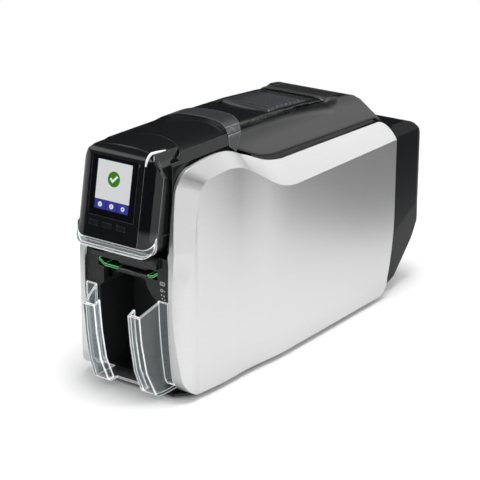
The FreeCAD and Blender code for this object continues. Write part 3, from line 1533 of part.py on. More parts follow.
head_top = S.head_bottom + S.head_height
head_block = box("head_block", both_wide(S.head_half_width), (S.head_front_y, S.head_rear_y),
                 (S.head_bottom + S.head_edge_radius, head_top))
head_edge = rod("head_edge", "x", -S.card_half_width, S.card_half_width, S.head_edge_radius,
                y=S.head_edge_y, z=S.head_bottom + S.head_edge_radius)
fins = []
for count in range(9):
    fin_x = -S.head_half_width + S.fin_pitch * count
    fins.append(box("head_fin", (fin_x, fin_x + S.fin_thickness), (S.head_front_y, S.head_rear_y),
                    (head_top - S.fin_thickness, head_top + S.fin_height)))
print_head = node("print_head", fuse("head_whole", head_block, head_edge, *fins))
saddle_z = head_top + S.fin_height + S.gap
bracket_top = tub_floor - S.gap / 2
head_y = (S.head_front_y, S.head_rear_y)
bracket_parts = [box("bracket_saddle", both_wide(S.bracket_half_width), head_y,
                     (saddle_z, saddle_z + S.bracket_thickness))]
for side in (1, -1):
    outer, inner = S.bracket_half_width * side, (S.bracket_half_width - S.bracket_thickness) * side
    foot_x = (S.tongue_half_width + S.wall) * side
    leg = sorted([outer, inner], key=number)
    ledge_x = sorted([outer, foot_x], key=number)
    bracket_parts.append(box("bracket_leg", leg, head_y, (saddle_z, bracket_top)))
    bracket_parts.append(box("bracket_flange", ledge_x, (S.head_front_y, S.bracket_flange_y),
                             (bracket_top - S.bracket_thickness, bracket_top)))
head_bracket = node("head_bracket", fuse("bracket_whole", *bracket_parts))

# Mechanism frame

roller_z = S.card_path_z - S.card_gap / 2 - S.roller_radius
pinch_z = S.card_path_z + S.card_gap / 2 + S.pinch_radius
shaft_hole = S.shaft_radius + S.running_fit
low_z = floor_top + S.gap
motor_y = S.rear_feed_y
gear_distance = S.gear_module * (S.gear_teeth + S.pinion_teeth) / 2 + S.gap
pinion_z = roller_z - gear_distance
cartridge_pin = S.core_radius - S.wall / 2
plate_outline = [
    (S.plate_front_y, low_z),
    (S.plate_rear_y, low_z),
    (S.plate_rear_y, S.plate_top),
    (S.plate_step_y, S.plate_top),
    (S.plate_step_y, S.plate_step_z),
    (S.plate_front_y, S.plate_step_z),
]
shaft_holes = [(y, roller_z, shaft_hole)
               for y in (S.cleaner_y, S.front_feed_y, S.platen_y, S.rear_feed_y)]
shaft_holes += [(y, pinch_z, shaft_hole) for y in (S.front_feed_y, S.rear_feed_y)]
shaft_holes += [(motor_y, pinion_z, S.motor_shaft_radius + S.gap)]
windows = [
    rectangle((S.front_feed_y, S.platen_y - S.plate_window_margin),
              (S.board_z + S.plate_window_margin, roller_z - S.plate_window_margin * 2)),
    rectangle((S.platen_y + S.plate_window_margin, S.supply_box_front_y - S.plate_window_margin),
              (S.board_z + S.plate_window_margin, roller_z - S.plate_window_margin * 2)),
    rectangle((S.cartridge_front_y + S.plate_window_margin, S.cartridge_rear_y),
              (S.card_path_z + S.plate_window_margin, S.cartridge_bottom)),
]
for label, side in (("frame_plate_left", -1), ("frame_plate_right", 1)):
    plate = body(label)
    start = S.plate_x if side == 1 else -S.plate_x - S.steel
    pad(plate, "YZ_Plane", plate_outline, S.steel, start)
    body_rounds(plate, "YZ_Plane", shaft_holes, start)
    for opening in windows:
        pocket(plate, "YZ_Plane", opening, start)
between = both_wide(S.plate_x - S.gap)
tie_bar_front = node("tie_bar_front", rod("bar_front", "x", between[0], between[1], S.bar_radius,
                                          y=S.plate_front_y + S.bar_inset, z=S.bar_low_z))
tie_bar_rear = node("tie_bar_rear", rod("bar_rear", "x", between[0], between[1], S.bar_radius,
                                        y=S.plate_rear_y - S.bar_inset, z=S.plate_top - S.bar_inset))
track_z = (S.card_path_z - S.track_height / 2, S.card_path_z + S.track_height / 2)
rail_plan = [
    (S.track_inner_x, S.plate_front_y),
    (between[1], S.plate_front_y),
    (between[1], S.plate_rear_y),
    (S.track_inner_x, S.plate_rear_y),
    (S.track_inner_x, S.platen_y + S.roller_radius + S.track_relief),
    (S.platen_half_width + S.track_relief, S.platen_y + S.roller_radius + S.track_relief),
    (S.platen_half_width + S.track_relief, S.platen_y - S.roller_radius - S.track_relief),
    (S.track_inner_x, S.platen_y - S.roller_radius - S.track_relief),
]
rail = prism("rail", "XY", rail_plan, track_z[0], track_z[1])
cross_y = (S.track_cross_front_y, S.track_cross_rear_y)
crosses = [box("track_cross", between, (y, y + S.track_cross_width),
               (track_z[0] - S.track_thickness, track_z[0] + S.track_thickness)) for y in cross_y]
groove = box("track_groove", both_wide(S.card_half_width + S.gap), (far_front, S.rear_end),
             (S.card_path_z - S.card_gap / 2, S.card_path_z + S.card_gap / 2))
roller_rooms = [box("roller_room", both_wide(S.track_inner_x + S.track_thickness),
                    (y - S.roller_radius - S.gap, y + S.roller_radius + S.gap), (ZERO, S.bevel_top_z))
                for y in (S.cleaner_y, S.front_feed_y, S.rear_feed_y)]
shaft_reliefs = [rod("shaft_relief", "x", -S.plate_x, S.plate_x, S.shaft_radius + S.gap, y=y, z=pinch_z)
                 for y in (S.front_feed_y, S.rear_feed_y)]
card_track = node("card_track", cut("track_whole", fuse("track_block", rail, mirrored("rail_left", rail),
                                                        *crosses), groove, *roller_rooms, *shaft_reliefs))

# Rollers, belt and gears

shaft_end = S.plate_x + S.steel + S.shaft_overhang
pulley_x = (S.plate_x + S.steel + S.pulley_gap, S.plate_x + S.steel + S.pulley_gap + S.pulley_width)


def roller(label, half_width, radius, y, z, pulley=False, gear=False):
    steps = []
    if pulley:
        steps += [(-pulley_x[1] - S.gap, S.shaft_radius), (-pulley_x[1], S.shaft_radius),
                  (-pulley_x[1], S.pulley_radius), (-pulley_x[0], S.pulley_radius),
                  (-pulley_x[0], S.shaft_radius)]
    else:
        steps += [(-S.plate_x - S.steel - S.gap, S.shaft_radius)]
    steps += [(-half_width, S.shaft_radius), (-half_width, radius), (half_width, radius),
              (half_width, S.shaft_radius)]
    steps += [(shaft_end if gear else S.plate_x + S.steel + S.gap, S.shaft_radius)]
    return turned(label, steps, y, z)


roller("platen_roller", S.platen_half_width, S.roller_radius, S.platen_y, roller_z, pulley=True)
roller("front_feed_roller", S.roller_half_width, S.roller_radius, S.front_feed_y, roller_z, pulley=True)
roller("rear_feed_roller", S.roller_half_width, S.roller_radius, S.rear_feed_y, roller_z,
       pulley=True, gear=True)
roller("cleaning_roller", S.roller_half_width, S.roller_radius, S.cleaner_y, roller_z)
roller("front_pinch_roller", S.roller_half_width, S.pinch_radius, S.front_feed_y, pinch_z)
roller("rear_pinch_roller", S.roller_half_width, S.pinch_radius, S.rear_feed_y, pinch_z)


def racetrack(name, radius, x):
    return fuse(name,
                rod(name + "_front", "x", x[0], x[1], radius, y=S.front_feed_y, z=roller_z),
                rod(name + "_rear", "x", x[0], x[1], radius, y=S.rear_feed_y, z=roller_z),
                box(name + "_run", x, (S.front_feed_y, S.rear_feed_y),
                    (roller_z - radius, roller_z + radius)))


belt_bore = S.pulley_radius + S.belt_clearance
drive_belt = node("drive_belt", cut(
    "belt_whole", racetrack("belt_outer", belt_bore + S.belt_thickness, (-pulley_x[1], -pulley_x[0])),
    racetrack("belt_inner", belt_bore, (-pulley_x[1] - S.wall, -pulley_x[0] + S.wall))))


def toothed(label, teeth, y, z, bore, phase_share):
    """A spur gear on a shaft along X, drawn as one toothed outline and padded."""
    module = S.gear_module
    pitch = module * teeth / 2
    root_radius = pitch - module * S.dedendum_share
    tip_radius = pitch + module * S.addendum_share
    corners = []
    for tooth in range(int(number(teeth))):
        for share, radius in ((-S.tooth_root_share, root_radius), (-S.tooth_tip_share, tip_radius),
                              (S.tooth_tip_share, tip_radius), (S.tooth_root_share, root_radius)):
            turn = 2 * math.pi * (tooth + phase_share + share.value) / number(teeth)
            corners.append((radius * math.cos(turn), radius * math.sin(turn)))
    gear = body(label)
    pad(gear, "YZ_Plane", corners, S.gear_width, pulley_x[0])
    body_rounds(gear, "YZ_Plane", [(ZERO, ZERO, bore)], pulley_x[0])
    return place(gear, ZERO, y, z)


toothed("feed_gear", S.gear_teeth, S.rear_feed_y, roller_z, S.shaft_radius + S.gear_seat, 0)
toothed("motor_pinion", S.pinion_teeth, motor_y, pinion_z, S.motor_shaft_radius + S.gear_seat,
        S.half_tooth_share.value)
motor_face = S.plate_x - S.gap
feed_motor = node("feed_motor", fuse(
    "motor_whole",
    box("motor_block", (motor_face - S.motor_length, motor_face),
        (motor_y - S.motor_half, motor_y + S.motor_half), (pinion_z - S.motor_half, pinion_z + S.motor_half)),
    rod("motor_shaft", "x", motor_face - S.wall, pulley_x[1], S.motor_shaft_radius, y=motor_y, z=pinion_z)))

# Ribbon cartridge

cheek_in = S.cartridge_x - S.cartridge_wall
cartridge_cheek = prism("cartridge_cheek", "YZ", [
    (S.cartridge_front_y, S.cartridge_bottom),
    (S.head_front_y - S.cartridge_step, S.cartridge_bottom),
    (S.head_front_y - S.cartridge_step, S.cartridge_bottom + S.cartridge_step),
    (S.head_rear_y + S.cartridge_step, S.cartridge_bottom + S.cartridge_step),
    (S.head_rear_y + S.cartridge_step, S.cartridge_bottom),
    (S.cartridge_rear_y, S.cartridge_bottom),
    (S.cartridge_rear_y, S.cartridge_top),
    (S.cartridge_front_y, S.cartridge_top),
], cheek_in, S.cartridge_x)
cartridge_bars = [
    box("cartridge_bar", both_wide(S.cartridge_x), (y, y + S.cartridge_wall),
        (S.cartridge_bottom, S.cartridge_bottom + S.cartridge_bar_height))
    for y in (S.cartridge_front_y, S.cartridge_rear_y - S.cartridge_wall)]
spool_bores = [rod("spool_bore", "x", -S.half_width, S.half_width, cartridge_pin + S.running_fit,
                   y=y, z=S.spool_z) for y in (S.supply_y, S.takeup_y)]
ribbon_cartridge = node("ribbon_cartridge", cut(
    "cartridge_whole", fuse("cartridge_block", cartridge_cheek,
                            mirrored("cartridge_cheek_left", cartridge_cheek), *cartridge_bars),
    *spool_bores))
for label, y, radius in (("supply_spool", S.supply_y, S.supply_radius),
                         ("takeup_spool", S.takeup_y, S.takeup_radius)):
    film_x = S.film_half_width
    flange_x = S.spool_half_width
    steps = [(-S.cartridge_x, cartridge_pin), (-cheek_in + S.gap, cartridge_pin),
             (-cheek_in + S.gap, S.core_radius), (-flange_x - S.fin_thickness, S.core_radius),
             (-flange_x - S.fin_thickness, S.spool_flange_radius), (-flange_x, S.spool_flange_radius),
             (-flange_x, S.core_radius), (-film_x, S.core_radius), (-film_x, radius)]
    steps += [(-x, r) for x, r in steps[::-1]]
    turned(label, steps, y, S.spool_z)
film = S.film_thickness
film_z = S.film_low_z
supply_touch = (S.supply_y - S.supply_radius * S.film_touch_share - S.gap,
                S.spool_z - S.supply_radius * S.film_touch_share - S.gap)
takeup_touch = (S.takeup_y + S.takeup_radius * S.film_touch_share + S.gap,
                S.spool_z - S.takeup_radius * S.film_touch_share - S.gap)
film_front_y = S.head_front_y - S.film_turn
film_rear_y = S.head_rear_y + S.film_turn
ribbon_film = node("ribbon_film", prism("film_web", "YZ", [
    takeup_touch,
    (film_front_y, film_z),
    (film_rear_y, film_z),
    supply_touch,
    (supply_touch[0] + film, supply_touch[1] - film),
    (film_rear_y + film / 2, film_z - film),
    (film_front_y - film / 2, film_z - film),
    (takeup_touch[0] - film, takeup_touch[1] - film),
], -S.film_half_width, S.film_half_width))

# Electronics on the tray

board_rounds = [(x, y, S.screw_radius + S.gap / 2)
                for x in (-S.board_post_x, S.board_post_x)
                for y in (S.board_front_y + S.board_inset, S.board_rear_y - S.board_inset)]
board = body("main_board")
pad(board, "XY_Plane", rectangle(both_wide(S.board_half_width), (S.board_front_y, S.board_rear_y)),
    S.board_thickness, S.board_z)
chip = S.chip_size
chip_top = S.board_z + S.board_thickness
for x_share, y in ((-1, S.front_feed_y), (0, S.takeup_y), (-1, S.platen_y - chip)):
    pad(board, "XY_Plane", rectangle((chip * x_share, chip * x_share + chip), (y, y + chip)),
        S.chip_height + S.board_thickness, S.board_z)
body_rounds(board, "XY_Plane", board_rounds, chip_top)
supply_case = box("supply_case", both_wide(S.supply_box_half_width),
                  (S.supply_box_front_y, S.supply_box_rear_y), (low_z, low_z + S.supply_box_height))
supply_slots = [box("supply_slot", both_wide(S.supply_box_half_width - S.motor_half),
                    (S.supply_box_front_y + S.slot_pitch * (count + 1),
                     S.supply_box_front_y + S.slot_pitch * (count + 1) + S.steel),
                    (low_z + S.supply_box_height - S.wall, S.bevel_top_z)) for count in range(9)]
power_supply = node("power_supply", cut("supply_whole", supply_case, *supply_slots))

# Rear housing

rear_side = [
    (S.rear_front_y, S.rear_top_z - S.wall),
    (S.rear_front_y + S.wall, S.rear_top_z),
    (S.rear_flat_y, S.rear_flat_z, S.rear_brow_radius),
    (S.rear_brow_y, S.rear_brow_z, S.rear_back_radius),
    (S.rear_end, S.rear_back_high_z),
    (S.rear_back_low_y, S.rear_back_low_z, S.rear_tuck_radius),
    (S.rear_tuck_y, S.rear_tuck_z),
    (S.rear_tail_y, S.rear_tail_z),
    (S.rear_front_y, S.rear_foot_z),
]
rear_plan = both_sides([
    (S.rear_half_width, S.rear_front_y - S.overrun),
    (S.rear_half_width, S.rear_corner_y, S.rear_corner_radius),
    (S.rear_corner_x, S.rear_end),
])
rear_front_view = both_sides([
    (S.rear_half_width, ZERO),
    (S.rear_half_width, S.rear_shoulder_z),
    (S.rear_shoulder_x, S.rear_top_z + S.overrun),
])


def rear_solid(name, inset):
    return common(name,
                  prism(name + "_side", "YZ", rear_side, -S.half_width, S.half_width, inset),
                  prism(name + "_plan", "XY", rear_plan, ZERO, S.bevel_top_z, inset),
                  prism(name + "_front", "XZ", rear_front_view, S.rear_front_y - S.overrun, S.rear_end,
                        inset))


rear_tuck_outline = outline("rear_tuck_outline", "XZ", [
    (S.rear_half_width, S.rear_crease_z),
    (S.rear_half_width + S.overrun, S.rear_crease_z),
    (S.rear_half_width + S.overrun, -S.rear_crease_run),
    (S.rear_half_width - S.rear_tuck_in, -S.rear_crease_run),
], S.rear_front_y - S.overrun)
rear_tuck = extrude("rear_tuck", rear_tuck_outline,
                    Vector(0, number(S.rear_crease_run), number(S.rear_crease_rise)), S.rear_crease_run)
bind(rear_tuck, "Dir.y", S.rear_crease_run)
bind(rear_tuck, "Dir.z", S.rear_crease_rise)
hollow_front = box("rear_hollow_front", both_wide(S.rear_half_width - S.rear_tuck_in - S.wall),
                   (S.rear_front_y - S.overrun, S.bay_floor_y - S.wall),
                   (S.rear_tail_z + S.wall + S.wall, S.rear_top_z - S.wall - S.wall))
rear_room = common("rear_room", hollow_front, rear_solid("rear_inner", S.wall))
rear_mouth = box("rear_mouth", both_wide(S.rear_half_width - S.rear_tuck_in - S.wall),
                 (S.rear_front_y - S.overrun, S.rear_front_y + S.wall + S.wall),
                 (S.rear_tail_z + S.wall + S.wall, S.rear_top_z - S.wall - S.wall))
bay_z = (S.bay_bottom, S.bay_top)
bay = box("bay", both_wide(S.bay_half_width), (S.bay_floor_y, S.rear_end + S.overrun), bay_z)
bay_window = box("bay_window", both_wide(S.bay_half_width - S.bay_edge),
                 (S.rear_front_y, S.rear_end), (S.bay_bottom + S.bay_edge, S.bay_top - S.bay_edge))
vents = [box("rear_vent", both_wide(S.vent_half_width), (S.rear_front_y + S.overrun, S.rear_end + S.overrun),
             (S.vent_low_z + S.slot_pitch * count, S.vent_low_z + S.slot_pitch * count + S.wall))
         for count in range(4)]
lock_slot = box("lock_slot", (-S.lock_x - S.lock_width / 2, -S.lock_x + S.lock_width / 2),
                (S.bay_floor_y, S.rear_end + S.overrun), (S.lock_z, S.lock_z + S.lock_height))
rear_housing = node("rear_housing", cut(
    "rear_open", cut("rear_tucked", rear_solid("rear_outer", None), rear_tuck,
                     mirrored("rear_tuck_left", rear_tuck)),
    rear_room, rear_mouth, bay, bay_window, lock_slot, *vents))

plate_y = (S.bay_floor_y + S.gap / 2, S.bay_floor_y + S.gap / 2 + S.steel)
fit = S.gap
lan_x = (S.lan_x - S.lan_half, S.lan_x + S.lan_half)
usb_x = (S.usb_x - S.usb_half, S.usb_x + S.usb_half)
port_z = (S.port_z - S.usb_half, S.port_z + S.usb_half)
inlet_x = (S.inlet_x - S.inlet_half_width, S.inlet_x + S.inlet_half_width)
inlet_z = (S.inlet_z - S.inlet_half_height, S.inlet_z + S.inlet_half_height)


def port_hole(x, z):
    return rectangle((x[0] - fit, x[1] + fit), (z[0] - fit, z[1] + fit))


connector_plate = body("connector_plate")
back = -plate_y[1]
pad(connector_plate, "XZ_Plane", rectangle(both_wide(S.bay_half_width - fit),
                                           (bay_z[0] + fit, bay_z[1] - fit)), S.steel, back)
pocket(connector_plate, "XZ_Plane", port_hole(lan_x, port_z), back)
pocket(connector_plate, "XZ_Plane", port_hole(usb_x, port_z), back)
pocket(connector_plate, "XZ_Plane", port_hole(inlet_x, inlet_z), back)
body_rounds(connector_plate, "XZ_Plane",
            [(S.power_button_x, S.power_button_z, S.power_button_radius + fit)], back)
port_front = S.bay_floor_y - S.port_depth
shells = [box("socket_shell", x, (port_front, plate_y[1] + S.steel), port_z) for x in (lan_x, usb_x)]
mouths = [box("socket_mouth", (x[0] + S.steel, x[1] - S.steel), (port_front + S.wall, S.rear_end),
              (port_z[0] + S.steel, port_z[1] - S.steel)) for x in (lan_x, usb_x)]
tongues = [box("socket_tongue", (x[0] + S.wall, x[1] - S.wall), (port_front, plate_y[1]),
               (S.port_z - S.fin_thickness, S.port_z + S.fin_thickness)) for x in (lan_x, usb_x)]
socket_board = box("socket_board", (lan_x[0], usb_x[1]), (port_front, S.bay_floor_y - S.wall),
                   (port_z[0] - S.steel, port_z[0]))
data_sockets = node("data_sockets", fuse("sockets_whole", cut(
    "sockets_open", fuse("socket_shells", socket_board, *shells), *mouths), *tongues))
inlet_front = S.bay_floor_y - S.inlet_depth
inlet_block = box("inlet_block", inlet_x, (inlet_front, plate_y[1] + S.steel), inlet_z)
inlet_well = box("inlet_well", (inlet_x[0] + S.steel, inlet_x[1] - S.steel),
                 (inlet_front + S.wall + S.wall, S.rear_end), (inlet_z[0] + S.steel, inlet_z[1] - S.steel))
blades = [box("inlet_blade", (S.inlet_x + S.blade_pitch * count - S.steel / 2,
                              S.inlet_x + S.blade_pitch * count + S.steel / 2),
              (inlet_front + S.wall, plate_y[0]), (S.inlet_z - S.wall, S.inlet_z + S.wall))
          for count in (-1, 0, 1)]
power_inlet = node("power_inlet", fuse("inlet_whole", cut("inlet_open", inlet_block, inlet_well),
                                       *blades))
power_button = body("power_button")
bind(power_button, "Placement.Base.x", S.power_button_x)
bind(power_button, "Placement.Base.z", S.power_button_z)
for label, radius, span in (
        ("cap", S.power_button_radius, (plate_y[0] - S.wall, plate_y[1] + S.power_button_proud)),
        ("collar", S.power_button_radius + S.fin_thickness,
         (plate_y[0] - S.wall - S.wall, plate_y[0] - S.gap - S.gap))):
    ring = power_button.newObject("PartDesign::Pad", "power_button_" + label)
    sketch = power_button.newObject("Sketcher::SketchObject", "power_button_sketch")
    side = [f for f in power_button.Origin.OriginFeatures if f.Role == "XZ_Plane"][0]
    sketch.AttachmentSupport = (side, [""])
    sketch.MapMode = "FlatFace"
    bind(sketch, "AttachmentOffset.Base.z", -span[1])
    ring.Profile = draw_rounds(sketch, [(ZERO, ZERO, radius)])
    bind(ring, "Length", span[1] - span[0])

# Output bin

bin_bottom = floor_top + S.gap
bin_side = [
    (S.bin_front_y, S.bin_top_front_z),
    (S.bin_bow_y, S.bin_bow_z),
    (S.bin_belly_y, S.bin_belly_z),
    (S.bin_toe_y, S.bin_toe_z),
    (S.bin_foot_y, bin_bottom),
    (S.foot_front_y, bin_bottom),
    (S.foot_front_y, S.bin_top_rear_z),
    (S.panel_front_low_y, S.bin_top_rear_z),
]
bin_plan = both_sides([
    (S.bin_side_front_x, far_front),
    (S.bin_side_front_x, S.bin_front_y + S.bin_thickness),
    (S.bin_flange_inner_x + S.bin_thickness, S.panel_front_low_y),
    (S.bin_flange_inner_x + S.bin_thickness, S.foot_front_y),
])


def bin_solid(name, inset, reach):
    return prism(name, "YZ", bin_side, -reach, reach, inset)


def bin_inside(name, inset):
    """The room inside the bin: open at the top, its front drawn in by the inset."""
    plan = prism(name + "_plan", "XY", bin_plan, bin_bottom + S.bin_thickness, S.bevel_top_z,
                 S.bin_thickness)
    side = prism(name + "_side", "YZ", [
        (S.bin_front_y + inset, S.bevel_top_z),
        (S.bin_front_y + inset, S.bin_top_front_z),
        (S.bin_bow_y + inset, S.bin_bow_z),
        (S.bin_belly_y + inset, S.bin_belly_z),
        (S.bin_toe_y + inset, S.bin_toe_z),
        (S.bin_toe_y + inset, ZERO),
        (S.rear_end, ZERO),
        (S.rear_end, S.bevel_top_z),
    ], -S.half_width, S.half_width)
    return common(name, plan, side)


bin_block = common("bin_block", bin_solid("bin_profile", None, S.half_width),
                   prism("bin_plan", "XY", bin_plan, ZERO, S.bevel_top_z))
bin_tray = cut("bin_tray", bin_block, bin_inside("bin_room", S.bin_thickness),
               box("bin_mouth", both_wide(S.bin_lip_x), (far_front, S.rear_end),
                   (S.bin_toe_z + S.bin_thickness, S.bevel_top_z)),
               box("bin_front_notch", both_wide(S.bin_lip_x), (far_front, S.bin_notch_y),
                   (ZERO, S.bevel_top_z)))
returns = []
for side in (1, -1):
    lip = sorted([S.bin_lip_x * side, (S.bin_lip_x + S.bin_thickness) * side], key=number)
    slab = common("bin_return_slab", box("bin_return_bounds", lip, (far_front, S.rear_end),
                                         (S.bin_toe_z, S.bevel_top_z)),
                  bin_solid("bin_return_profile", None, S.half_width))
    returns.append(cut("bin_return", slab, prism("bin_return_room", "YZ", [
        (S.bin_front_y + S.bin_return, S.bevel_top_z),
        (S.bin_front_y + S.bin_return, S.bin_top_front_z),
        (S.bin_bow_y + S.bin_return, S.bin_bow_z),
        (S.bin_belly_y + S.bin_return, S.bin_belly_z),
        (S.bin_toe_y + S.bin_return, S.bin_toe_z),
        (S.rear_end, S.bin_toe_z),
        (S.rear_end, S.bevel_top_z),
    ], -S.half_width, S.half_width)))
behind_bezel = front_solid("bin_backing", S.bezel_set_back - S.bin_flange_set_off)
bin_flanges = []
for side in (1, -1):
    span = sorted([S.bin_flange_inner_x * side, S.bin_flange_outer_x * side], key=number)
    bin_flanges.append(box("bin_flange", span, (far_front, S.foot_front_y),
                           (S.bin_flange_bottom_z, S.bin_top_rear_z)))
flange_skin = common("flange_skin",
                     front_solid("flange_front", S.bezel_set_back - S.bin_flange_set_off
                                 - S.bin_thickness),
                     fuse("flange_blocks", *bin_flanges))
output_bin = node("output_bin", cut("bin_whole", fuse("bin_parts", bin_tray, flange_skin, *returns),
                                    behind_bezel))

# Check and write every sub-part

doc.recompute()
for thing in doc.Objects:
    if "Invalid" in thing.State or "Error" in thing.State:
        raise RuntimeError("failed to build: " + thing.Name)
for part in NODES:
    if part.Shape.isNull() or not part.Shape.isValid():
        raise RuntimeError("bad shape: " + part.Label)
os.makedirs("parts", exist_ok=True)
for part in NODES:
    part.Shape.exportStep(os.path.join("parts", part.Label + ".step"))
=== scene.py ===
import json
import math

import bmesh
import bpy
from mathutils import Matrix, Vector
from mathutils.bvhtree import BVHTree


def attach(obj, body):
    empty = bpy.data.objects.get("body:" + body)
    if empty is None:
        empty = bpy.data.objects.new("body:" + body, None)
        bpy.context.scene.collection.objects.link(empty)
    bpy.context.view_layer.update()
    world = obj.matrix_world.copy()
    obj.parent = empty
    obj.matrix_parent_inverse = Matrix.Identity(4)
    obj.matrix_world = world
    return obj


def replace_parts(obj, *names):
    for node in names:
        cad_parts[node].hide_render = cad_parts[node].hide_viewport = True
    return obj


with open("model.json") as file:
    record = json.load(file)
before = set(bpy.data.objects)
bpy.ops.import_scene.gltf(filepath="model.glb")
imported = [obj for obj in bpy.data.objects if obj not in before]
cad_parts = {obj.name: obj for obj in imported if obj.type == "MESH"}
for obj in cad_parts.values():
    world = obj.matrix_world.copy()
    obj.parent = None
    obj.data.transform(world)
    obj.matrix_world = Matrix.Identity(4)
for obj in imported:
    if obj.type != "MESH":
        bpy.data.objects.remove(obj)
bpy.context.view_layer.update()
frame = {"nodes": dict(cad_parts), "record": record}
scene = bpy.context.scene
MM = 0.001  # metres in a millimetre


# Node helpers

BEVEL_SAMPLES = 4
EDGE_STARTS, EDGE_FULL = 0.995, 0.86  # cosine between the rounded and the plain normal


def feed(tree, socket, value):
    """Links a socket to an output, or sets it to a plain value."""
    if isinstance(value, bpy.types.NodeSocket):
        tree.links.new(value, socket)
    else:
        socket.default_value = value


def colour_mix(tree, factor, first, second):
    """Mixes two colours, each an output or a list of four numbers."""
    node = tree.nodes.new("ShaderNodeMix")
    node.data_type = "RGBA"
    feed(tree, node.inputs["Factor"], factor)
    feed(tree, node.inputs["A"], first)
    feed(tree, node.inputs["B"], second)
    return node.outputs["Result"]


def map_range(tree, value, start, end, low=0.0, high=1.0):
    node = tree.nodes.new("ShaderNodeMapRange")
    feed(tree, node.inputs["Value"], value)
    node.inputs["From Min"].default_value = start
    node.inputs["From Max"].default_value = end
    node.inputs["To Min"].default_value = low
    node.inputs["To Max"].default_value = high
    return node.outputs["Result"]


def calculate(tree, operation, first, second, clamp=False):
    node = tree.nodes.new("ShaderNodeMath")
    node.operation = operation
    node.use_clamp = clamp
    feed(tree, node.inputs[0], first)
    feed(tree, node.inputs[1], second)
    return node.outputs["Value"]


def shader_mix(tree, factor, first, second):
    node = tree.nodes.new("ShaderNodeMixShader")
    for socket, output in zip(node.inputs, (factor, first, second)):
        tree.links.new(output, socket)
    return node.outputs["Shader"]


def rounded_normal(tree, radius):
    """The normal over edges that are rounded in shading only."""
    node = tree.nodes.new("ShaderNodeBevel")
    node.samples = BEVEL_SAMPLES
    node.inputs["Radius"].default_value = radius
    return node.outputs["Normal"]


def edge_mask(tree, width):
    """One on edges, zero on flat ground."""
    plain = tree.nodes.new("ShaderNodeNewGeometry")
    turned = tree.nodes.new("ShaderNodeVectorMath")
    turned.operation = "DOT_PRODUCT"
    tree.links.new(rounded_normal(tree, width), turned.inputs[0])
    tree.links.new(plain.outputs["Normal"], turned.inputs[1])
    return map_range(tree, turned.outputs["Value"], EDGE_STARTS, EDGE_FULL)


def seen_directly(tree):
    """One for camera, glossy and transmission rays, zero for the others."""
    path = tree.nodes.new("ShaderNodeLightPath")
    seen = calculate(tree, "ADD", path.outputs["Is Camera Ray"], path.outputs["Is Glossy Ray"])
    return calculate(tree, "ADD", seen, path.outputs["Is Transmission Ray"], clamp=True)


# Materials

COAT_ROUGH = 0.05
BUMP_DEPTH = 0.0002
BLACK = [0, 0, 0, 1]


def material(name, colour, rough, metal=0.0, level=0.5, coat=0.0, grain=0.0, grain_scale=900.0,
             stretch=(1, 1, 1), bump=0.0, spread=0.0, through=0.0, ior=1.5, alpha=1.0, glow=None,
             glow_level=0.0, edge=0.0, rim=None, rim_width=0.0008, painted_edge_glow=0.0, zone=None):
    """A procedural finish.

    Noise moves its colour by spread, its roughness by grain and its surface by bump. Edges are
    rounded in shading by edge, and painted lighter by rim: painted highlights, with some edge wear
    in them, which may also glow, a painted glow. Zone fades the colour to another one between two
    heights.
    """
    made = bpy.data.materials.new(name)
    made.use_nodes = True
    tree = made.node_tree
    shader = tree.nodes["Principled BSDF"]
    place = tree.nodes.new("ShaderNodeTexCoord")
    turn = tree.nodes.new("ShaderNodeMapping")
    turn.inputs["Scale"].default_value = stretch
    tree.links.new(place.outputs["Object"], turn.inputs["Vector"])
    noise = tree.nodes.new("ShaderNodeTexNoise")
    noise.inputs["Scale"].default_value = grain_scale
    noise.inputs["Detail"].default_value = 4.0
    tree.links.new(turn.outputs["Vector"], noise.inputs["Vector"])
    paint = colour_mix(tree, noise.outputs["Fac"], [c * (1 - spread) for c in colour] + [1],
                       [min(1, c * (1 + spread)) for c in colour] + [1])
    if zone:
        start, end, beyond = zone
        split = tree.nodes.new("ShaderNodeSeparateXYZ")
        tree.links.new(place.outputs["Object"], split.inputs["Vector"])
        height = map_range(tree, split.outputs["Z"], start, end)
        paint = colour_mix(tree, height, paint, [*beyond, 1])
    # Rim paints edges lighter: painted highlights along edges, with some edge wear in them; the
    # edge glow is a painted glow
    if rim:
        mask = edge_mask(tree, rim_width)
        paint = colour_mix(tree, mask, paint, [*rim, 1])
        if painted_edge_glow:
            feed(tree, shader.inputs["Emission Color"], colour_mix(tree, mask, BLACK, [*rim, 1]))
            shader.inputs["Emission Strength"].default_value = painted_edge_glow
    feed(tree, shader.inputs["Base Color"], paint)
    if grain:
        feed(tree, shader.inputs["Roughness"],
             map_range(tree, noise.outputs["Fac"], 0.0, 1.0, max(0, rough - grain),
                       min(1, rough + grain)))
    else:
        shader.inputs["Roughness"].default_value = rough
    shader.inputs["Metallic"].default_value = metal
    shader.inputs["Specular IOR Level"].default_value = level
    shader.inputs["IOR"].default_value = ior
    shader.inputs["Coat Weight"].default_value = coat
    shader.inputs["Coat Roughness"].default_value = COAT_ROUGH
    shader.inputs["Transmission Weight"].default_value = through
    shader.inputs["Alpha"].default_value = alpha
    if glow:
        shader.inputs["Emission Color"].default_value = [*glow, 1]
        shader.inputs["Emission Strength"].default_value = glow_level
    normal = rounded_normal(tree, edge) if edge else None
    if bump:
        relief = tree.nodes.new("ShaderNodeBump")
        relief.inputs["Strength"].default_value = bump
        relief.inputs["Distance"].default_value = BUMP_DEPTH
        tree.links.new(noise.outputs["Fac"], relief.inputs["Height"])
        if normal:
            tree.links.new(normal, relief.inputs["Normal"])
        normal = relief.outputs["Normal"]
    if normal:
        tree.links.new(normal, shader.inputs["Normal"])
    return made


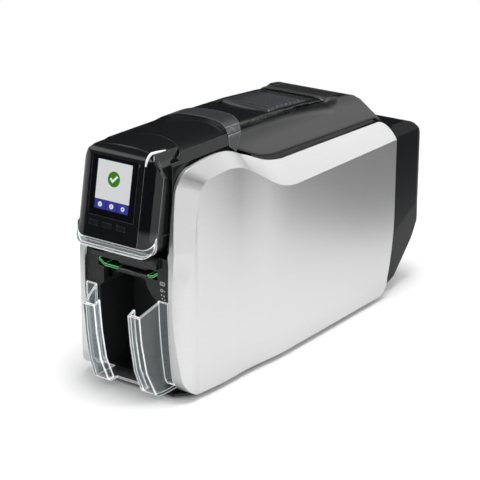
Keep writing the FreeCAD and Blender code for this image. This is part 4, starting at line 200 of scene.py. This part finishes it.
# One finish for each material slot of the record, and ridge_grey for the ridge on the lid
M = {name: material(name, colour, rough, **more) for name, colour, rough, more in (
    ("side_silver", (0.60, 0.605, 0.60), 0.38,
     dict(metal=0.9, grain=0.05, grain_scale=60.0, stretch=(1, 1, 14), bump=0.03, spread=0.04,
          edge=0.0008)),
    # The rim colours in these finishes paint edges lighter: painted highlights along edges, with
    # some edge wear in them
    ("gloss_black", (0.0075, 0.008, 0.0085), 0.16,
     dict(level=0.35, spread=0.1, bump=0.004, grain_scale=300.0, edge=0.0007,
          rim=(0.10, 0.105, 0.11), rim_width=0.0005)),
    ("satin_grey", (0.046, 0.047, 0.046), 0.40,
     dict(grain=0.05, spread=0.08, bump=0.06, grain_scale=1500.0, edge=0.004,
          zone=(0.236, 0.250, (0.0075, 0.008, 0.0088)))),
    ("collar_grey", (0.027, 0.028, 0.0305), 0.30,
     dict(spread=0.08, bump=0.02, edge=0.0006, rim=(0.35, 0.36, 0.37), rim_width=0.0007)),
    ("dark_plastic", (0.014, 0.0148, 0.0152), 0.48,
     dict(level=0.35, grain=0.06, spread=0.1, bump=0.12, grain_scale=2200.0, edge=0.0005,
          rim=(0.05, 0.052, 0.054), rim_width=0.0004)),
    ("rear_black", (0.0045, 0.005, 0.006), 0.36,
     dict(level=0.14, grain=0.05, spread=0.1, bump=0.05, grain_scale=1800.0, edge=0.0025)),
    ("latch_black", (0.022, 0.023, 0.026), 0.34,
     dict(level=0.45, grain=0.05, spread=0.1, bump=0.06, edge=0.0003, rim=(0.22, 0.225, 0.23),
          rim_width=0.0010)),
    ("ridge_grey", (0.016, 0.0165, 0.0175), 0.32,
     dict(level=0.45, grain=0.04, spread=0.1, bump=0.04, edge=0.0006, rim=(0.22, 0.225, 0.23),
          rim_width=0.0022)),
    # The smoked window's lighter grey below 180 mm is a painted reflection; its pale rims are
    # painted highlights
    ("smoked_clear", (0.006, 0.0065, 0.007), 0.07,
     dict(spread=0.1, alpha=0.94, edge=0.0008, rim=(0.45, 0.47, 0.48), rim_width=0.0006,
          zone=(0.186, 0.180, (0.050, 0.055, 0.057)))),
    # The clear finish's bright rims glow: painted highlights and a painted glow
    ("clear", (0.78, 0.82, 0.825), 0.07,
     dict(through=0.92, ior=1.18, spread=0.02, rim=(0.9, 0.93, 0.93), rim_width=0.0018,
          painted_edge_glow=0.88)),
    ("screen_glass", (0.005, 0.005, 0.007), 0.07, dict(spread=0.1)),
    ("screen_face", (0.55, 0.58, 0.62), 0.3, dict(spread=0.02)),
    ("key_blue", (0.006, 0.0065, 0.008), 0.35,
     dict(level=0.25, spread=0.1, bump=0.02, edge=0.0003, rim=(0.10, 0.105, 0.11),
          rim_width=0.0004)),
    ("board_green", (0.012, 0.09, 0.035), 0.4, dict(spread=0.25, grain_scale=240.0, bump=0.1)),
    # The green guide's rims glow: painted highlights and a painted glow
    ("guide_green", (0.004, 0.06, 0.012), 0.18,
     dict(spread=0.6, grain_scale=180.0, bump=0.05, rim=(0.10, 0.75, 0.22), rim_width=0.0012,
          painted_edge_glow=0.8)),
    ("gate_grey", (0.035, 0.036, 0.037), 0.4,
     dict(spread=0.1, bump=0.05, edge=0.0002, rim=(0.2, 0.2, 0.2), rim_width=0.0003)),
    ("foot_rubber", (0.012, 0.012, 0.012), 0.8, dict(spread=0.15, bump=0.15)),
    ("roller_rubber", (0.03, 0.03, 0.032), 0.62,
     dict(spread=0.15, bump=0.2, grain_scale=1800.0)),
    ("plate_steel", (0.52, 0.53, 0.54), 0.34,
     dict(metal=1.0, grain=0.08, spread=0.12, grain_scale=80.0, bump=0.04, edge=0.0003)),
    ("bar_steel", (0.58, 0.585, 0.59), 0.22,
     dict(metal=1.0, grain=0.05, stretch=(20, 1, 1), grain_scale=120.0, spread=0.08)),
    ("gear_white", (0.72, 0.72, 0.68), 0.42, dict(spread=0.05, bump=0.03)),
    ("belt_black", (0.01, 0.01, 0.01), 0.7, dict(spread=0.1, bump=0.15)),
    ("spool_plastic", (0.02, 0.02, 0.035), 0.2, dict(spread=0.1, bump=0.02)),
    ("film", (0.02, 0.02, 0.035), 0.15, dict(spread=0.1, bump=0.02)),
    ("head_metal", (0.66, 0.67, 0.68), 0.35,
     dict(metal=1.0, spread=0.08, bump=0.05, edge=0.0003)),
    ("socket_black", (0.02, 0.02, 0.021), 0.4, dict(spread=0.1, bump=0.05, edge=0.0003)),
)}
slot_of = {s["node"]: s["material_slot"] for s in frame["record"]["subparts"]}
for name, piece in frame["nodes"].items():
    piece.data.materials.clear()
    piece.data.materials.append(M[slot_of[name]])


# Mesh helpers

def dress(piece, finish, body):
    """Gives a piece its finish and its body."""
    piece.data.materials.clear()
    piece.data.materials.append(finish)
    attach(piece, body)
    return piece


def from_bmesh(name, work):
    data = bpy.data.meshes.new(name)
    work.to_mesh(data)
    work.free()
    piece = bpy.data.objects.new(name, data)
    scene.collection.objects.link(piece)
    return piece


def smooth(data, crease=None):
    """Shades a mesh smoothly, but for edges sharper than crease in degrees."""
    data.polygons.foreach_set("use_smooth", [True] * len(data.polygons))
    if crease:
        data.set_sharp_from_angle(angle=math.radians(crease))


def ray_tree(node):
    """A tree for rays against a node's mesh, which also works once the node is replaced."""
    source = frame["nodes"][node]
    corners = [source.matrix_world @ v.co for v in source.data.vertices]
    return BVHTree.FromPolygons(corners, [p.vertices[:] for p in source.data.polygons])


def clamp(value):
    return max(0.0, min(1.0, value))


def ring(cx, cz, radius, count=28):
    return [(cx + radius * math.cos(2 * math.pi * i / count),
             cz + radius * math.sin(2 * math.pi * i / count)) for i in range(count)]


def rounded_box(x0, x1, z0, z1, radius, steps=4):
    points = []
    for cx, cz, start in ((x1 - radius, z0 + radius, -90), (x1 - radius, z1 - radius, 0),
                          (x0 + radius, z1 - radius, 90), (x0 + radius, z0 + radius, 180)):
        for i in range(steps + 1):
            turn = math.radians(start + 90 * i / steps)
            points.append((cx + radius * math.cos(turn), cz + radius * math.sin(turn)))
    return points


# Nodes whose mesh gets softer forms than the solid has; all shapes are in millimetres

LONGEST_EDGE = 4.0 * MM
DIVISIONS = 5


def reshaped(name, node, shape, keep, region, crease):
    """A copy of a node's mesh, divided finely, with every point put through shape(x, y, z)."""
    source = frame["nodes"][node]
    work = bmesh.new()
    work.from_mesh(source.data)
    bmesh.ops.transform(work, matrix=source.matrix_world, verts=work.verts)
    bmesh.ops.remove_doubles(work, verts=work.verts, dist=1e-6)
    if keep:
        at, away = keep
        everything = work.verts[:] + work.edges[:] + work.faces[:]
        cut = bmesh.ops.bisect_plane(work, geom=everything, plane_co=Vector(at) * MM,
                                     plane_no=away, clear_outer=True)
        loop = [e for e in cut["geom_cut"] if isinstance(e, bmesh.types.BMEdge)]
        bmesh.ops.holes_fill(work, edges=loop, sides=0)
        bmesh.ops.triangulate(work, faces=work.faces)
    for _ in range(DIVISIONS):
        long = [e for e in work.edges if e.calc_length() > LONGEST_EDGE
                and (region is None or region((e.verts[0].co + e.verts[1].co) / (2 * MM)))]
        if not long:
            break
        bmesh.ops.subdivide_edges(work, edges=long, cuts=1)
        bmesh.ops.triangulate(work, faces=work.faces)
    for point in work.verts:
        point.co = Vector(shape(*(point.co / MM))) * MM
    bmesh.ops.recalc_face_normals(work, faces=work.faces)
    piece = from_bmesh(name, work)
    smooth(piece.data, crease)
    weights = piece.modifiers.new("weights", "WEIGHTED_NORMAL")
    weights.keep_sharp = True
    return piece


def formed(node, body, shape, name=None, finish=None, keep=None, region=None, crease=24):
    """A reshaped copy of a node.

    Keep is a point and a direction: what lies beyond the point in that direction is cut off. Only
    where region says so is the mesh divided.
    """
    piece = reshaped(name or node + "_formed", node, shape, keep, region, crease)
    slot = finish or slot_of[node]
    return dress(piece, M[slot], body)


FACE_FOOT_Y, FACE_FOOT_Z, FACE_SLOPE = -239.0, 153.5, 0.195
RIM_TOP, LIFT_ENDS, CORNER_ENDS = 165.5, 175.0, 180.0
LIFT_FOOT, LIFT_RIM = 5.0, 1.8
CORNER_STARTS, CORNER_RADIUS = 37.8, 12.0
HINGE_FADE_Y, HINGE_FADE_LONG = -220.5, 8.0


def face_y(z):
    """The y of the door's leaning face at height z."""
    return FACE_FOOT_Y + (z - FACE_FOOT_Z) * FACE_SLOPE


def door_shape(x, y, z):
    """Lifts the door's lower edge and rounds its lower corners.

    On the hinge side the corner is round in front only, to stay clear of the housing when the
    door is open.
    """
    if z >= CORNER_ENDS:
        return x, y, z
    if z <= RIM_TOP:
        lift = LIFT_FOOT + (LIFT_RIM - LIFT_FOOT) * (z - FACE_FOOT_Z) / (RIM_TOP - FACE_FOOT_Z)
    else:
        lift = max(0.0, LIFT_RIM * (LIFT_ENDS - z) / (LIFT_ENDS - RIM_TOP))
    past = max(0.0, abs(x) - CORNER_STARTS)
    corner = CORNER_RADIUS - math.sqrt(max(0.0, CORNER_RADIUS ** 2 - past * past))
    fade = min(1.0, (CORNER_ENDS - z) / (CORNER_ENDS - RIM_TOP))
    if x < 0:
        ahead = clamp((HINGE_FADE_Y - y) / HINGE_FADE_LONG)
        fade *= ahead * ahead * (3 - 2 * ahead)
    return x, y, z + lift + corner * fade


LEAN = Vector((0, 1, -FACE_SLOPE)).normalized()
WINDOW_SPLIT = (0, -230.5, FACE_FOOT_Z)
RIM_SPLIT = (0, -227.0, 0)
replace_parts(formed("hopper_door", "door", door_shape), "hopper_door")
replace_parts(formed("door_window", "door", door_shape, keep=(WINDOW_SPLIT, LEAN)), "door_window")
formed("door_window", "door", door_shape, "door_cheek", "gloss_black", (WINDOW_SPLIT, -LEAN))
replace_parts(formed("door_rim", "door", door_shape, keep=(RIM_SPLIT, (0, 1, 0))), "door_rim")
formed("door_rim", "door", door_shape, "door_rim_cheek", "gloss_black", (RIM_SPLIT, (0, -1, 0)))

# y and z of the lid's top along its middle
TOP_LINE = ((-60, 258.5), (0, 257.0), (60, 252.8), (100, 248.4), (115, 246.5))
LID_FLAT, LID_HALF, LID_FALL, LID_CURVE = 28.0, 50.0, 10.0, 2.6
LID_SIDE_Z, LID_FADE_Y, LID_FADE_LONG, LID_FADE_RISE = 225.0, 112.0, 34.0, 4.0


def along(line, y):
    """The height of a line of (y, z) points at y."""
    for (y0, z0), (y1, z1) in zip(line, line[1:]):
        if y <= y1:
            return z0 + (z1 - z0) * max(0.0, (y - y0) / (y1 - y0))
    return line[-1][1]


def lid_fall(x):
    """How far the lid's rounded top lies below its middle."""
    return LID_FALL * (max(0.0, abs(x) - LID_FLAT) / (LID_HALF - LID_FLAT)) ** LID_CURVE


def lid_shape(x, y, z):
    """Rounds the lid's long upper edges, which the solid leaves sharp."""
    if abs(x) < LID_FLAT or z < LID_SIDE_Z or y > LID_FADE_Y:
        return x, y, z
    fade = min(1.0, (LID_FADE_Y - y) / LID_FADE_LONG)
    limit = along(TOP_LINE, y) - fade * lid_fall(x) + LID_FADE_RISE * (1 - fade) ** 2
    return x, y, min(z, limit)


BAND_TOP, BAND_MIDDLE_Y = 262.0, -111.5
SHOULDER_FROM, SHOULDER_WIDE, SHOULDER_FALL, SHOULDER_CURVE = 22.0, 30.0, 13.0, 2.3
BAND_FOOT_FROM, BAND_FOOT_Z, BAND_FOOT_TALL = 44.0, 254.0, 18.0


def band_shape(x, y, z):
    """Rounds the band's two shoulders and thins it towards its feet."""
    wide = abs(x)
    if wide < SHOULDER_FROM:
        return x, y, z
    limit = BAND_TOP - SHOULDER_FALL * ((wide - SHOULDER_FROM) / SHOULDER_WIDE) ** SHOULDER_CURVE
    if wide > BAND_FOOT_FROM:
        low = clamp((BAND_FOOT_Z - z) / BAND_FOOT_TALL)
        y = BAND_MIDDLE_Y + (y - BAND_MIDDLE_Y) * (1 - 0.5 * low ** 1.5)
    return x, y, min(z, limit)


PANEL_FRONT_Y, PANEL_LOW_Z, PANEL_INNER_X = -176.0, 70.0, 45.0
BEVEL_REAR_X, BEVEL_REAR_Y, BEVEL_FRONT_X, BEVEL_FRONT_Y = 81.0, -183.0, 50.0, -229.0
BEVEL_FOOT, FOOT_MARGIN_UP, FOOT_MARGIN_DOWN = 160.0, 0.5, 0.4
RUN_OUT, RUN_TALL, RUN_CURVE = 30.0, 90.0, 2.2
OUTSIDE = 0.2  # metres from the middle, where the rays start


def panel_shape(node, side):
    """Lets the bevel at the panel's front run out below its foot instead of stopping there."""
    tree = ray_tree(node)

    def shape(x, y, z):
        if (y > PANEL_FRONT_Y or z > BEVEL_FOOT + FOOT_MARGIN_UP or z < PANEL_LOW_Z
                or abs(x) < PANEL_INNER_X):
            return x, y, z
        hit = tree.ray_cast(Vector((side * OUTSIDE, y * MM, z * MM)), Vector((-side, 0, 0)))[0]
        if hit is None:
            return x, y, z
        ahead = (BEVEL_REAR_Y - y) / (BEVEL_REAR_Y - BEVEL_FRONT_Y)
        bevel = BEVEL_REAR_X + (BEVEL_FRONT_X - BEVEL_REAR_X) * ahead
        limit = bevel + RUN_OUT * (max(0.0, BEVEL_FOOT - z) / RUN_TALL) ** RUN_CURVE
        if z > BEVEL_FOOT - FOOT_MARGIN_DOWN:
            return side * min(abs(x), limit), y, z
        return x - side * max(0.0, abs(hit.x) / MM - limit), y, z

    return shape


def near_bevel_foot(point):
    """The part of a panel that is divided finely, a little more than what panel_shape moves."""
    return point.y < PANEL_FRONT_Y + 8.0 and PANEL_LOW_Z - 10.0 < point.z < BEVEL_FOOT + 12.0


for label, side in (("right", 1), ("left", -1)):
    node = "side_panel_" + label
    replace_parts(formed(node, "base", panel_shape(node, side), region=near_bevel_foot, crease=9),
                node)
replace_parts(formed("lid_cover", "lid", lid_shape), "lid_cover")
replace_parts(formed("lid_inlay", "lid", lid_shape), "lid_inlay")
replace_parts(formed("lid_band", "lid", band_shape), "lid_band")


# The latch's grip and the ridge behind it

def slab(name, x_range, y_range, height, floor_z, columns, rows):
    """A closed plate whose upper face follows height(x, y, y_low, y_high)."""
    work = bmesh.new()
    top, low = [], []
    for j in range(rows + 1):
        for i in range(columns + 1):
            x = x_range[0] + (x_range[1] - x_range[0]) * i / columns
            y_low, y_high = y_range(x)
            y = y_low + (y_high - y_low) * j / rows
            top.append(work.verts.new((x * MM, y * MM, height(x, y, y_low, y_high) * MM)))
            low.append(work.verts.new((x * MM, y * MM, floor_z * MM)))
    wide = columns + 1
    for j in range(rows):
        for i in range(columns):
            a = j * wide + i
            work.faces.new((top[a], top[a + 1], top[a + 1 + wide], top[a + wide]))
            work.faces.new((low[a], low[a + wide], low[a + 1 + wide], low[a + 1]))
    for j in range(rows):
        for a, b in ((j * wide, (j + 1) * wide), ((j + 2) * wide - 1, (j + 1) * wide - 1)):
            work.faces.new((top[a], top[b], low[b], low[a]))
    for i in range(columns):
        for a, b in ((i + 1, i), (rows * wide + i, rows * wide + i + 1)):
            work.faces.new((top[a], top[b], low[b], low[a]))
    bmesh.ops.recalc_face_normals(work, faces=work.faces)
    piece = from_bmesh(name, work)
    smooth(piece.data, 40)
    return piece


GRIP_LEFT, GRIP_RIGHT, GRIP_REAR, GRIP_FLOOR = -34.0, 35.4, 50.0, 247.4
GRIP_RAISED, GRIP_FALL, GRIP_ROUND, GRIP_CROWN = 0.9, 3.6, 5.0, 0.0008
GRIP_ARC_Y, GRIP_ARC_DEEP, GRIP_ARC_X, GRIP_ARC_WIDE = -19.0, 9.0, 16.0, 50.0
RIB_TALL, RIB_PITCH, RIB_SHIFT = 0.9, 8.0, 6.0
RIBS_X, RIBS_FADE_X, RIBS_Y, RIBS_FADE_Y = -22.0, 12.0, -9.0, 4.0
RIDGE_HALF, RIDGE_FRONT, RIDGE_REAR, RIDGE_FLOOR = 44.5, 73.0, 113.0, 243.9
RIDGE_RAISED, RIDGE_FALL, RIDGE_ROUND, RIDGE_CURVE = 1.8, 2.1, 4.5, 1.6


def grip_span(x):
    """Where the tongue starts and ends; its front is an arc."""
    return GRIP_ARC_Y + GRIP_ARC_DEEP * ((x - GRIP_ARC_X) / GRIP_ARC_WIDE) ** 2, GRIP_REAR


def grip_height(x, y, y_low, y_high):
    """A tongue with rounded edges and ribs across it."""
    inside = min(x - GRIP_LEFT, GRIP_RIGHT - x, y - y_low, y_high - y + 2.0)
    fall = GRIP_FALL * (1 - min(1.0, inside / GRIP_ROUND)) ** 2
    rib = RIB_TALL * max(0.0, math.cos(2 * math.pi * (y + RIB_SHIFT) / RIB_PITCH)) ** 2
    ribbed = clamp((x - RIBS_X) / RIBS_FADE_X) * clamp((y - RIBS_Y) / RIBS_FADE_Y)
    return along(TOP_LINE, y) + GRIP_RAISED - fall + rib * ribbed - GRIP_CROWN * x * x


def ridge_span(x):
    return RIDGE_FRONT, RIDGE_REAR


def ridge_height(x, y, y_low, y_high):
    inside = min(RIDGE_HALF - abs(x), y - y_low, y_high - y)
    fall = RIDGE_FALL * (1 - min(1.0, inside / RIDGE_ROUND)) ** RIDGE_CURVE
    return along(TOP_LINE, y) - lid_fall(x) + RIDGE_RAISED - fall


dress(slab("latch_grip", (GRIP_LEFT, GRIP_RIGHT), grip_span, grip_height, GRIP_FLOOR, 46, 110),
      M["latch_black"], "latch")
dress(slab("lid_ridge", (-RIDGE_HALF, RIDGE_HALF), ridge_span, ridge_height, RIDGE_FLOOR, 60, 24),
      M["ridge_grey"], "lid")


# Beads: a pale glowing lip over the window's top, a painted highlight and a painted glow, and a
# grey line on its side edge, a painted highlight

def bead(name, points, radii, finish, body):
    """A raised line of round section through points in metres; the radii are in millimetres."""
    line = bpy.data.curves.new(name, "CURVE")
    line.dimensions = "3D"
    line.bevel_depth = 1.0
    line.bevel_resolution = 3
    line.use_fill_caps = True
    run = line.splines.new("POLY")
    run.points.add(len(points) - 1)
    for point, at, radius in zip(run.points, points, radii):
        point.co = (*at, 1)
        point.radius = radius * MM
    thing = bpy.data.objects.new(name + "_line", line)
    scene.collection.objects.link(thing)
    bpy.context.view_layer.update()
    shaped = thing.evaluated_get(bpy.context.evaluated_depsgraph_get())
    data = bpy.data.meshes.new_from_object(shaped)
    bpy.data.objects.remove(thing)
    data.name = name
    piece = bpy.data.objects.new(name, data)
    scene.collection.objects.link(piece)
    smooth(data)
    return dress(piece, finish, body)


REACH = 150.0  # millimetres from a point, where a ray back to it starts
window_tree = ray_tree("door_window")


def on_window(centre, away):
    """Where a ray from outside towards centre, in millimetres, meets the window, in metres."""
    start = (Vector(centre) + Vector(away) * REACH) * MM
    return window_tree.ray_cast(start, -Vector(away).normalized())[0]


# The lip's pale colour and its glow are a painted highlight and a painted glow
lip_highlight = material("lip_highlight", (0.62, 0.64, 0.645), 0.12, level=0.6, coat=0.5, spread=0.1,
                     grain_scale=200.0, glow=(0.8, 0.82, 0.82), glow_level=0.25)
# A grey finish for the lines on the window's side edge and under the card slot: painted highlights
line_highlight = material("line_highlight", (0.16, 0.165, 0.17), 0.2, spread=0.15, grain_scale=200.0)

# The lip runs in an arc over the window's top, seen from an axis within the door
LIP_POINTS, LIP_FROM, LIP_TURN = 25, 12, 112  # degrees above straight ahead
LIP_AXIS_Y, LIP_AXIS_Z, LIP_X, LIP_DRIFT, DRIFT_FROM = -203.0, 243.0, 32.6, 3.0, 8
LIP_THIN, LIP_SWELL = 0.45, 1.25
points, radii = [], []
for i in range(LIP_POINTS):
    turn = math.radians(LIP_FROM + LIP_TURN * i / (LIP_POINTS - 1))
    x = LIP_X + LIP_DRIFT * max(0, i - DRIFT_FROM) / (LIP_POINTS - 1 - DRIFT_FROM)
    at = on_window((x, LIP_AXIS_Y, LIP_AXIS_Z), (0, -math.cos(turn), math.sin(turn)))
    if at:
        points.append(at)
        swell = math.sin(math.pi * ((i + 2) / (LIP_POINTS + 1)))
        radii.append(LIP_THIN + LIP_SWELL * swell ** 0.7)
bead("window_lip_highlight", points, radii, lip_highlight, "door")

# A grey line along the window's side edge, a painted highlight
EDGE_POINTS, EDGE_X, EDGE_LOW, EDGE_TALL, EDGE_BACK, EDGE_THIN = 22, 40.0, 177.0, 61.0, 8.1, 0.25
points, radii = [], []
for i in range(EDGE_POINTS):
    up = i / (EDGE_POINTS - 1)
    z = EDGE_LOW + EDGE_TALL * up
    at = on_window((EDGE_X, face_y(z) + EDGE_BACK, z), (1, 0, 0))
    if at:
        points.append(at)
        radii.append(EDGE_THIN * (1 + up))
bead("window_edge_highlight", points, radii, line_highlight, "door")


# What the screen shows: plain signs only

PLATE = 0.12  # thickness of a plate or mark, in millimetres


def side_faces(work, front, rear, inward=False):
    """Joins two loops of as many points; the faces of a hole look inward."""
    count = len(front)
    for i in range(count):
        k = (i + 1) % count
        a, b = (k, i) if inward else (i, k)
        work.faces.new((front[a], rear[a], rear[b], front[b]))


def on_face(name, outline, proud):
    """A thin plate on the door's face; the outline is x and z."""
    work = bmesh.new()
    front, rear = [[work.verts.new((x * MM, (face_y(z) - ahead) * MM, z * MM)) for x, z in outline]
                   for ahead in (proud, proud - PLATE)]
    work.faces.new(front)
    work.faces.new(rear[::-1])
    side_faces(work, front, rear)
    bmesh.ops.recalc_face_normals(work, faces=work.faces)
    return from_bmesh(name, work)


lit_white = material("lit_white", (0.42, 0.425, 0.43), 0.25, coat=0.6, spread=0.01,
                     glow=(0.82, 0.84, 0.84), glow_level=0.36)
lit_blue = material("lit_blue", (0.012, 0.016, 0.14), 0.25, coat=0.6, spread=0.3,
                    grain_scale=60.0, glow=(0.05, 0.06, 0.42), glow_level=0.42)
lit_green = material("lit_green", (0.03, 0.13, 0.004), 0.25, coat=0.6, spread=0.05,
                     glow=(0.04, 0.22, 0.008), glow_level=0.35)
mark_white = material("mark_white", (0.62, 0.63, 0.63), 0.5, spread=0.02, glow=(0.8, 0.8, 0.8),
                      glow_level=0.25)
print_grey = material("print_grey", (0.50, 0.51, 0.51), 0.6, spread=0.05)

LEFT, RIGHT, LOW, HIGH, BAR = -26.0, 17.0, 197.0, 245.0, 206.5  # the screen and its lower bar
MIDDLE, CELL, ROUND, GAP = (LEFT + RIGHT) / 2, (RIGHT - LEFT) / 3, 0.6, 0.35
DISC_Z, DISC_RADIUS, TICK_Z, ICON_RADIUS = 228.0, 7.6, 227.2, 2.5
PAGE_PROUD, SIGN_PROUD, INNER_PROUD = 0.10, 0.16, 0.22  # each layer lies above the last
TABS = ("left", "middle", "right")
dress(on_face("screen_page", rounded_box(LEFT, RIGHT, BAR, HIGH, ROUND), PAGE_PROUD), lit_white,
      "door")
for i, label in enumerate(TABS):
    tab = rounded_box(LEFT + CELL * i + GAP, LEFT + CELL * (i + 1) - GAP, LOW, BAR - 0.5, ROUND)
    dress(on_face("screen_tab_" + label, tab, PAGE_PROUD), lit_blue, "door")
dress(on_face("screen_disc", ring(MIDDLE, DISC_Z, DISC_RADIUS), SIGN_PROUD), lit_green, "door")
tick = [(-5.2, 0.5), (-3.6, 2.1), (-1.4, 0.0), (3.5, 4.9), (5.1, 3.3), (-1.4, -3.2)]
dress(on_face("screen_tick", [(MIDDLE + x, TICK_Z + z) for x, z in tick], INNER_PROUD), mark_white,
      "door")
for i, label in enumerate(TABS):
    cx, cz = LEFT + CELL * (i + 0.5), (LOW + BAR) / 2 - 0.3
    if label == "right":
        toothed = zip(ring(cx, cz, 1.9, 16), ring(cx, cz, 2.6, 16))
        icon = [pair[t % 2] for t, pair in enumerate(toothed)]
        hub = ring(cx, cz, 0.9)
    else:
        icon = ring(cx, cz, ICON_RADIUS)
        hub = rounded_box(cx - 0.4, cx + 0.4, cz - 1.3, cz + 1.3, 0.3)
    dress(on_face("screen_icon_" + label, icon, SIGN_PROUD), mark_white, "door")
    dress(on_face("screen_hub_" + label, hub, INNER_PROUD), lit_blue, "door")


# Marks, tab and lip on the bezel's front; the lip's grey is a painted highlight

BEZEL = frame["nodes"]["front_bezel"]
AHEAD = -0.5  # y in metres, where the rays start


def bezel_y(x, z):
    """Where the bezel's front stands at x and z in millimetres, in metres."""
    return BEZEL.ray_cast(Vector((x * MM, AHEAD, z * MM)), Vector((0, 1, 0)))[1].y


def on_bezel(name, outline, hole=None, proud=PLATE, finish=print_grey):
    """A thin plate on the bezel's front, which may have a hole of as many points."""
    work = bmesh.new()
    loops = []
    for loop in (outline, hole or ()):
        stands = [(x, bezel_y(x, z), z) for x, z in loop]
        loops.append([[work.verts.new((x * MM, y - ahead * MM, z * MM)) for x, y, z in stands]
                      for ahead in (proud, 0.0)])
    (front, rear), (inner, back) = loops
    side_faces(work, front, rear)
    if hole:
        side_faces(work, inner, back, inward=True)
        side_faces(work, front, inner, inward=True)
    else:
        work.faces.new(front)
    bmesh.ops.recalc_face_normals(work, faces=work.faces)
    dress(from_bmesh(name, work), finish, "base")


on_bezel("mark_card", rounded_box(41.4, 47.4, 124.6, 128.4, 0.9),
         rounded_box(42.1, 46.7, 125.3, 127.7, 0.4))
on_bezel("mark_card_bar", rounded_box(43.4, 45.4, 126.2, 126.9, 0.2))
on_bezel("mark_disc", ring(43.6, 119.4, 1.7), ring(43.6, 119.4, 1.0))
on_bezel("mark_dash", rounded_box(46.0, 47.6, 118.6, 119.5, 0.3))
for i, (x, z) in enumerate(((43.2, 114.6), (46.4, 114.0), (44.2, 111.0), (47.0, 110.0))):
    on_bezel("mark_dot_%d" % i, ring(x, z, 0.75, 14))
on_bezel("slot_tab", rounded_box(6.0, 18.0, 125.0, 131.2, 1.4),
         rounded_box(7.6, 16.4, 126.5, 129.8, 0.8), 0.9, M["gate_grey"])

SLOT_LIP_Z, SLOT_LIP_FALL, SLOT_LIP_RADIUS = 130.9, 0.03, 0.55
points = []
for x in range(-18, 37, 3):
    z = SLOT_LIP_Z - SLOT_LIP_FALL * abs(x)
    points.append(Vector((x * MM, bezel_y(x, z), z * MM)))
bead("slot_lip_highlight", points, [SLOT_LIP_RADIUS] * len(points), line_highlight, "base")


# Camera

AZIMUTH, ELEVATION = 36, 20
camera = bpy.data.objects.new("camera", bpy.data.cameras.new("camera"))
scene.collection.objects.link(camera)
camera.data.lens = 127.5
camera.data.sensor_width = 36.0
camera.location = (1.0190, -1.4249, 0.7378)
camera.rotation_euler = (math.radians(90 - ELEVATION), 0, math.radians(AZIMUTH))
camera.data.clip_start = 0.05
camera.data.clip_end = 20.0
scene.camera = camera


# Floor and dark cards

FLOOR_SIZE, FLOOR_LIFT, FLOOR_FADES_FROM, FLOOR_ENDS = 4.0, 0.05, 0.55, 1.0


def plane(name, size, at, finish):
    work = bmesh.new()
    bmesh.ops.create_grid(work, x_segments=1, y_segments=1, size=size / 2)
    piece = from_bmesh(name, work)
    piece.location = at
    piece.data.materials.append(finish)
    return piece


# The floor keeps the shadow near the object and fades out beyond it
white_floor = material("white_floor", (0.93, 0.93, 0.93), 0.9, level=0.0, spread=0.005)
tree = white_floor.node_tree
shader = tree.nodes["Principled BSDF"]
shader.inputs["Emission Color"].default_value = (1, 1, 1, 1)
tree.links.new(calculate(tree, "MULTIPLY", seen_directly(tree), FLOOR_LIFT),
               shader.inputs["Emission Strength"])
place = tree.nodes.new("ShaderNodeTexCoord")
distance = tree.nodes.new("ShaderNodeVectorMath")
distance.operation = "LENGTH"
tree.links.new(place.outputs["Object"], distance.inputs[0])
fade = map_range(tree, distance.outputs["Value"], FLOOR_FADES_FROM, FLOOR_ENDS)
clear = tree.nodes.new("ShaderNodeBsdfTransparent")
tree.links.new(shader_mix(tree, fade, shader.outputs["BSDF"], clear.outputs["BSDF"]),
               tree.nodes["Material Output"].inputs["Surface"])
plane("floor", FLOOR_SIZE, (0, 0, 0), white_floor)
flag_black = material("flag_black", (0.01, 0.01, 0.01), 1.0, level=0.0, spread=0.05)


def flag(name, at, toward, wide, tall):
    """A dark studio card that only reflections see, turned to face a point."""
    piece = plane(name, 1.0, at, flag_black)
    aim = Vector(toward) - Vector(at)
    piece.rotation_euler = aim.to_track_quat("Z", "Y").to_euler()
    piece.scale = (wide, tall, 1)
    piece.visible_camera = False
    piece.visible_diffuse = False
    piece.visible_shadow = False
    piece.visible_transmission = False


flag("flag_back_left", (-0.80, 1.10, 0.62), (0, 0, 0.2), 2.2, 1.0)
flag("flag_floor", (0.85, 0.95, 0.004), (0.85, 0.95, 1), 1.30, 1.30)
flag("flag_front", (-0.35, -1.45, 0.30), (0, -0.2, 0.2), 2.1, 1.6)
flag("flag_right", (0.92, -0.30, 0.66), (0.06, -0.2, 0.2), 0.75, 0.62)
flag("flag_ceiling", (-0.4, -0.7, 2.0), (-0.4, -0.7, 0), 3.6, 3.6)


# Lamps and background

def lamp(name, at, toward, wide, tall, power):
    data = bpy.data.lights.new(name, "AREA")
    data.shape = "RECTANGLE"
    data.size = wide
    data.size_y = tall
    data.energy = power
    thing = bpy.data.objects.new(name, data)
    scene.collection.objects.link(thing)
    thing.location = at
    aim = Vector(toward) - Vector(at)
    thing.rotation_euler = aim.to_track_quat("-Z", "Y").to_euler()


lamp("top_lamp", (0.15, -0.05, 1.6), (0, 0, 0.1), 0.8, 0.8, 19)
lamp("rear_lamp", (0.65, 0.98, 0.72), (0.07, 0.05, 0.2), 1.0, 0.4, 1.1)
lamp("left_lamp", (-1.5, -1.0, 1.3), (0, -0.1, 0.15), 1.0, 1.0, 9)
lamp("right_lamp", (1.7, -0.5, 1.1), (0, 0, 0.12), 1.2, 1.2, 10)

AMBIENT, SEEN = 0.5, 1.0  # how strong the background lights, and how strong it looks
world = bpy.data.worlds.new("world")
scene.world = world
world.use_nodes = True
tree = world.node_tree
tree.nodes.clear()
backgrounds = []
for strength in (AMBIENT, SEEN):
    node = tree.nodes.new("ShaderNodeBackground")
    node.inputs["Color"].default_value = (1, 1, 1, 1)
    node.inputs["Strength"].default_value = strength
    backgrounds.append(node.outputs["Background"])
output = tree.nodes.new("ShaderNodeOutputWorld")
tree.links.new(shader_mix(tree, seen_directly(tree), *backgrounds), output.inputs["Surface"])

scene.view_settings.view_transform = "Standard"
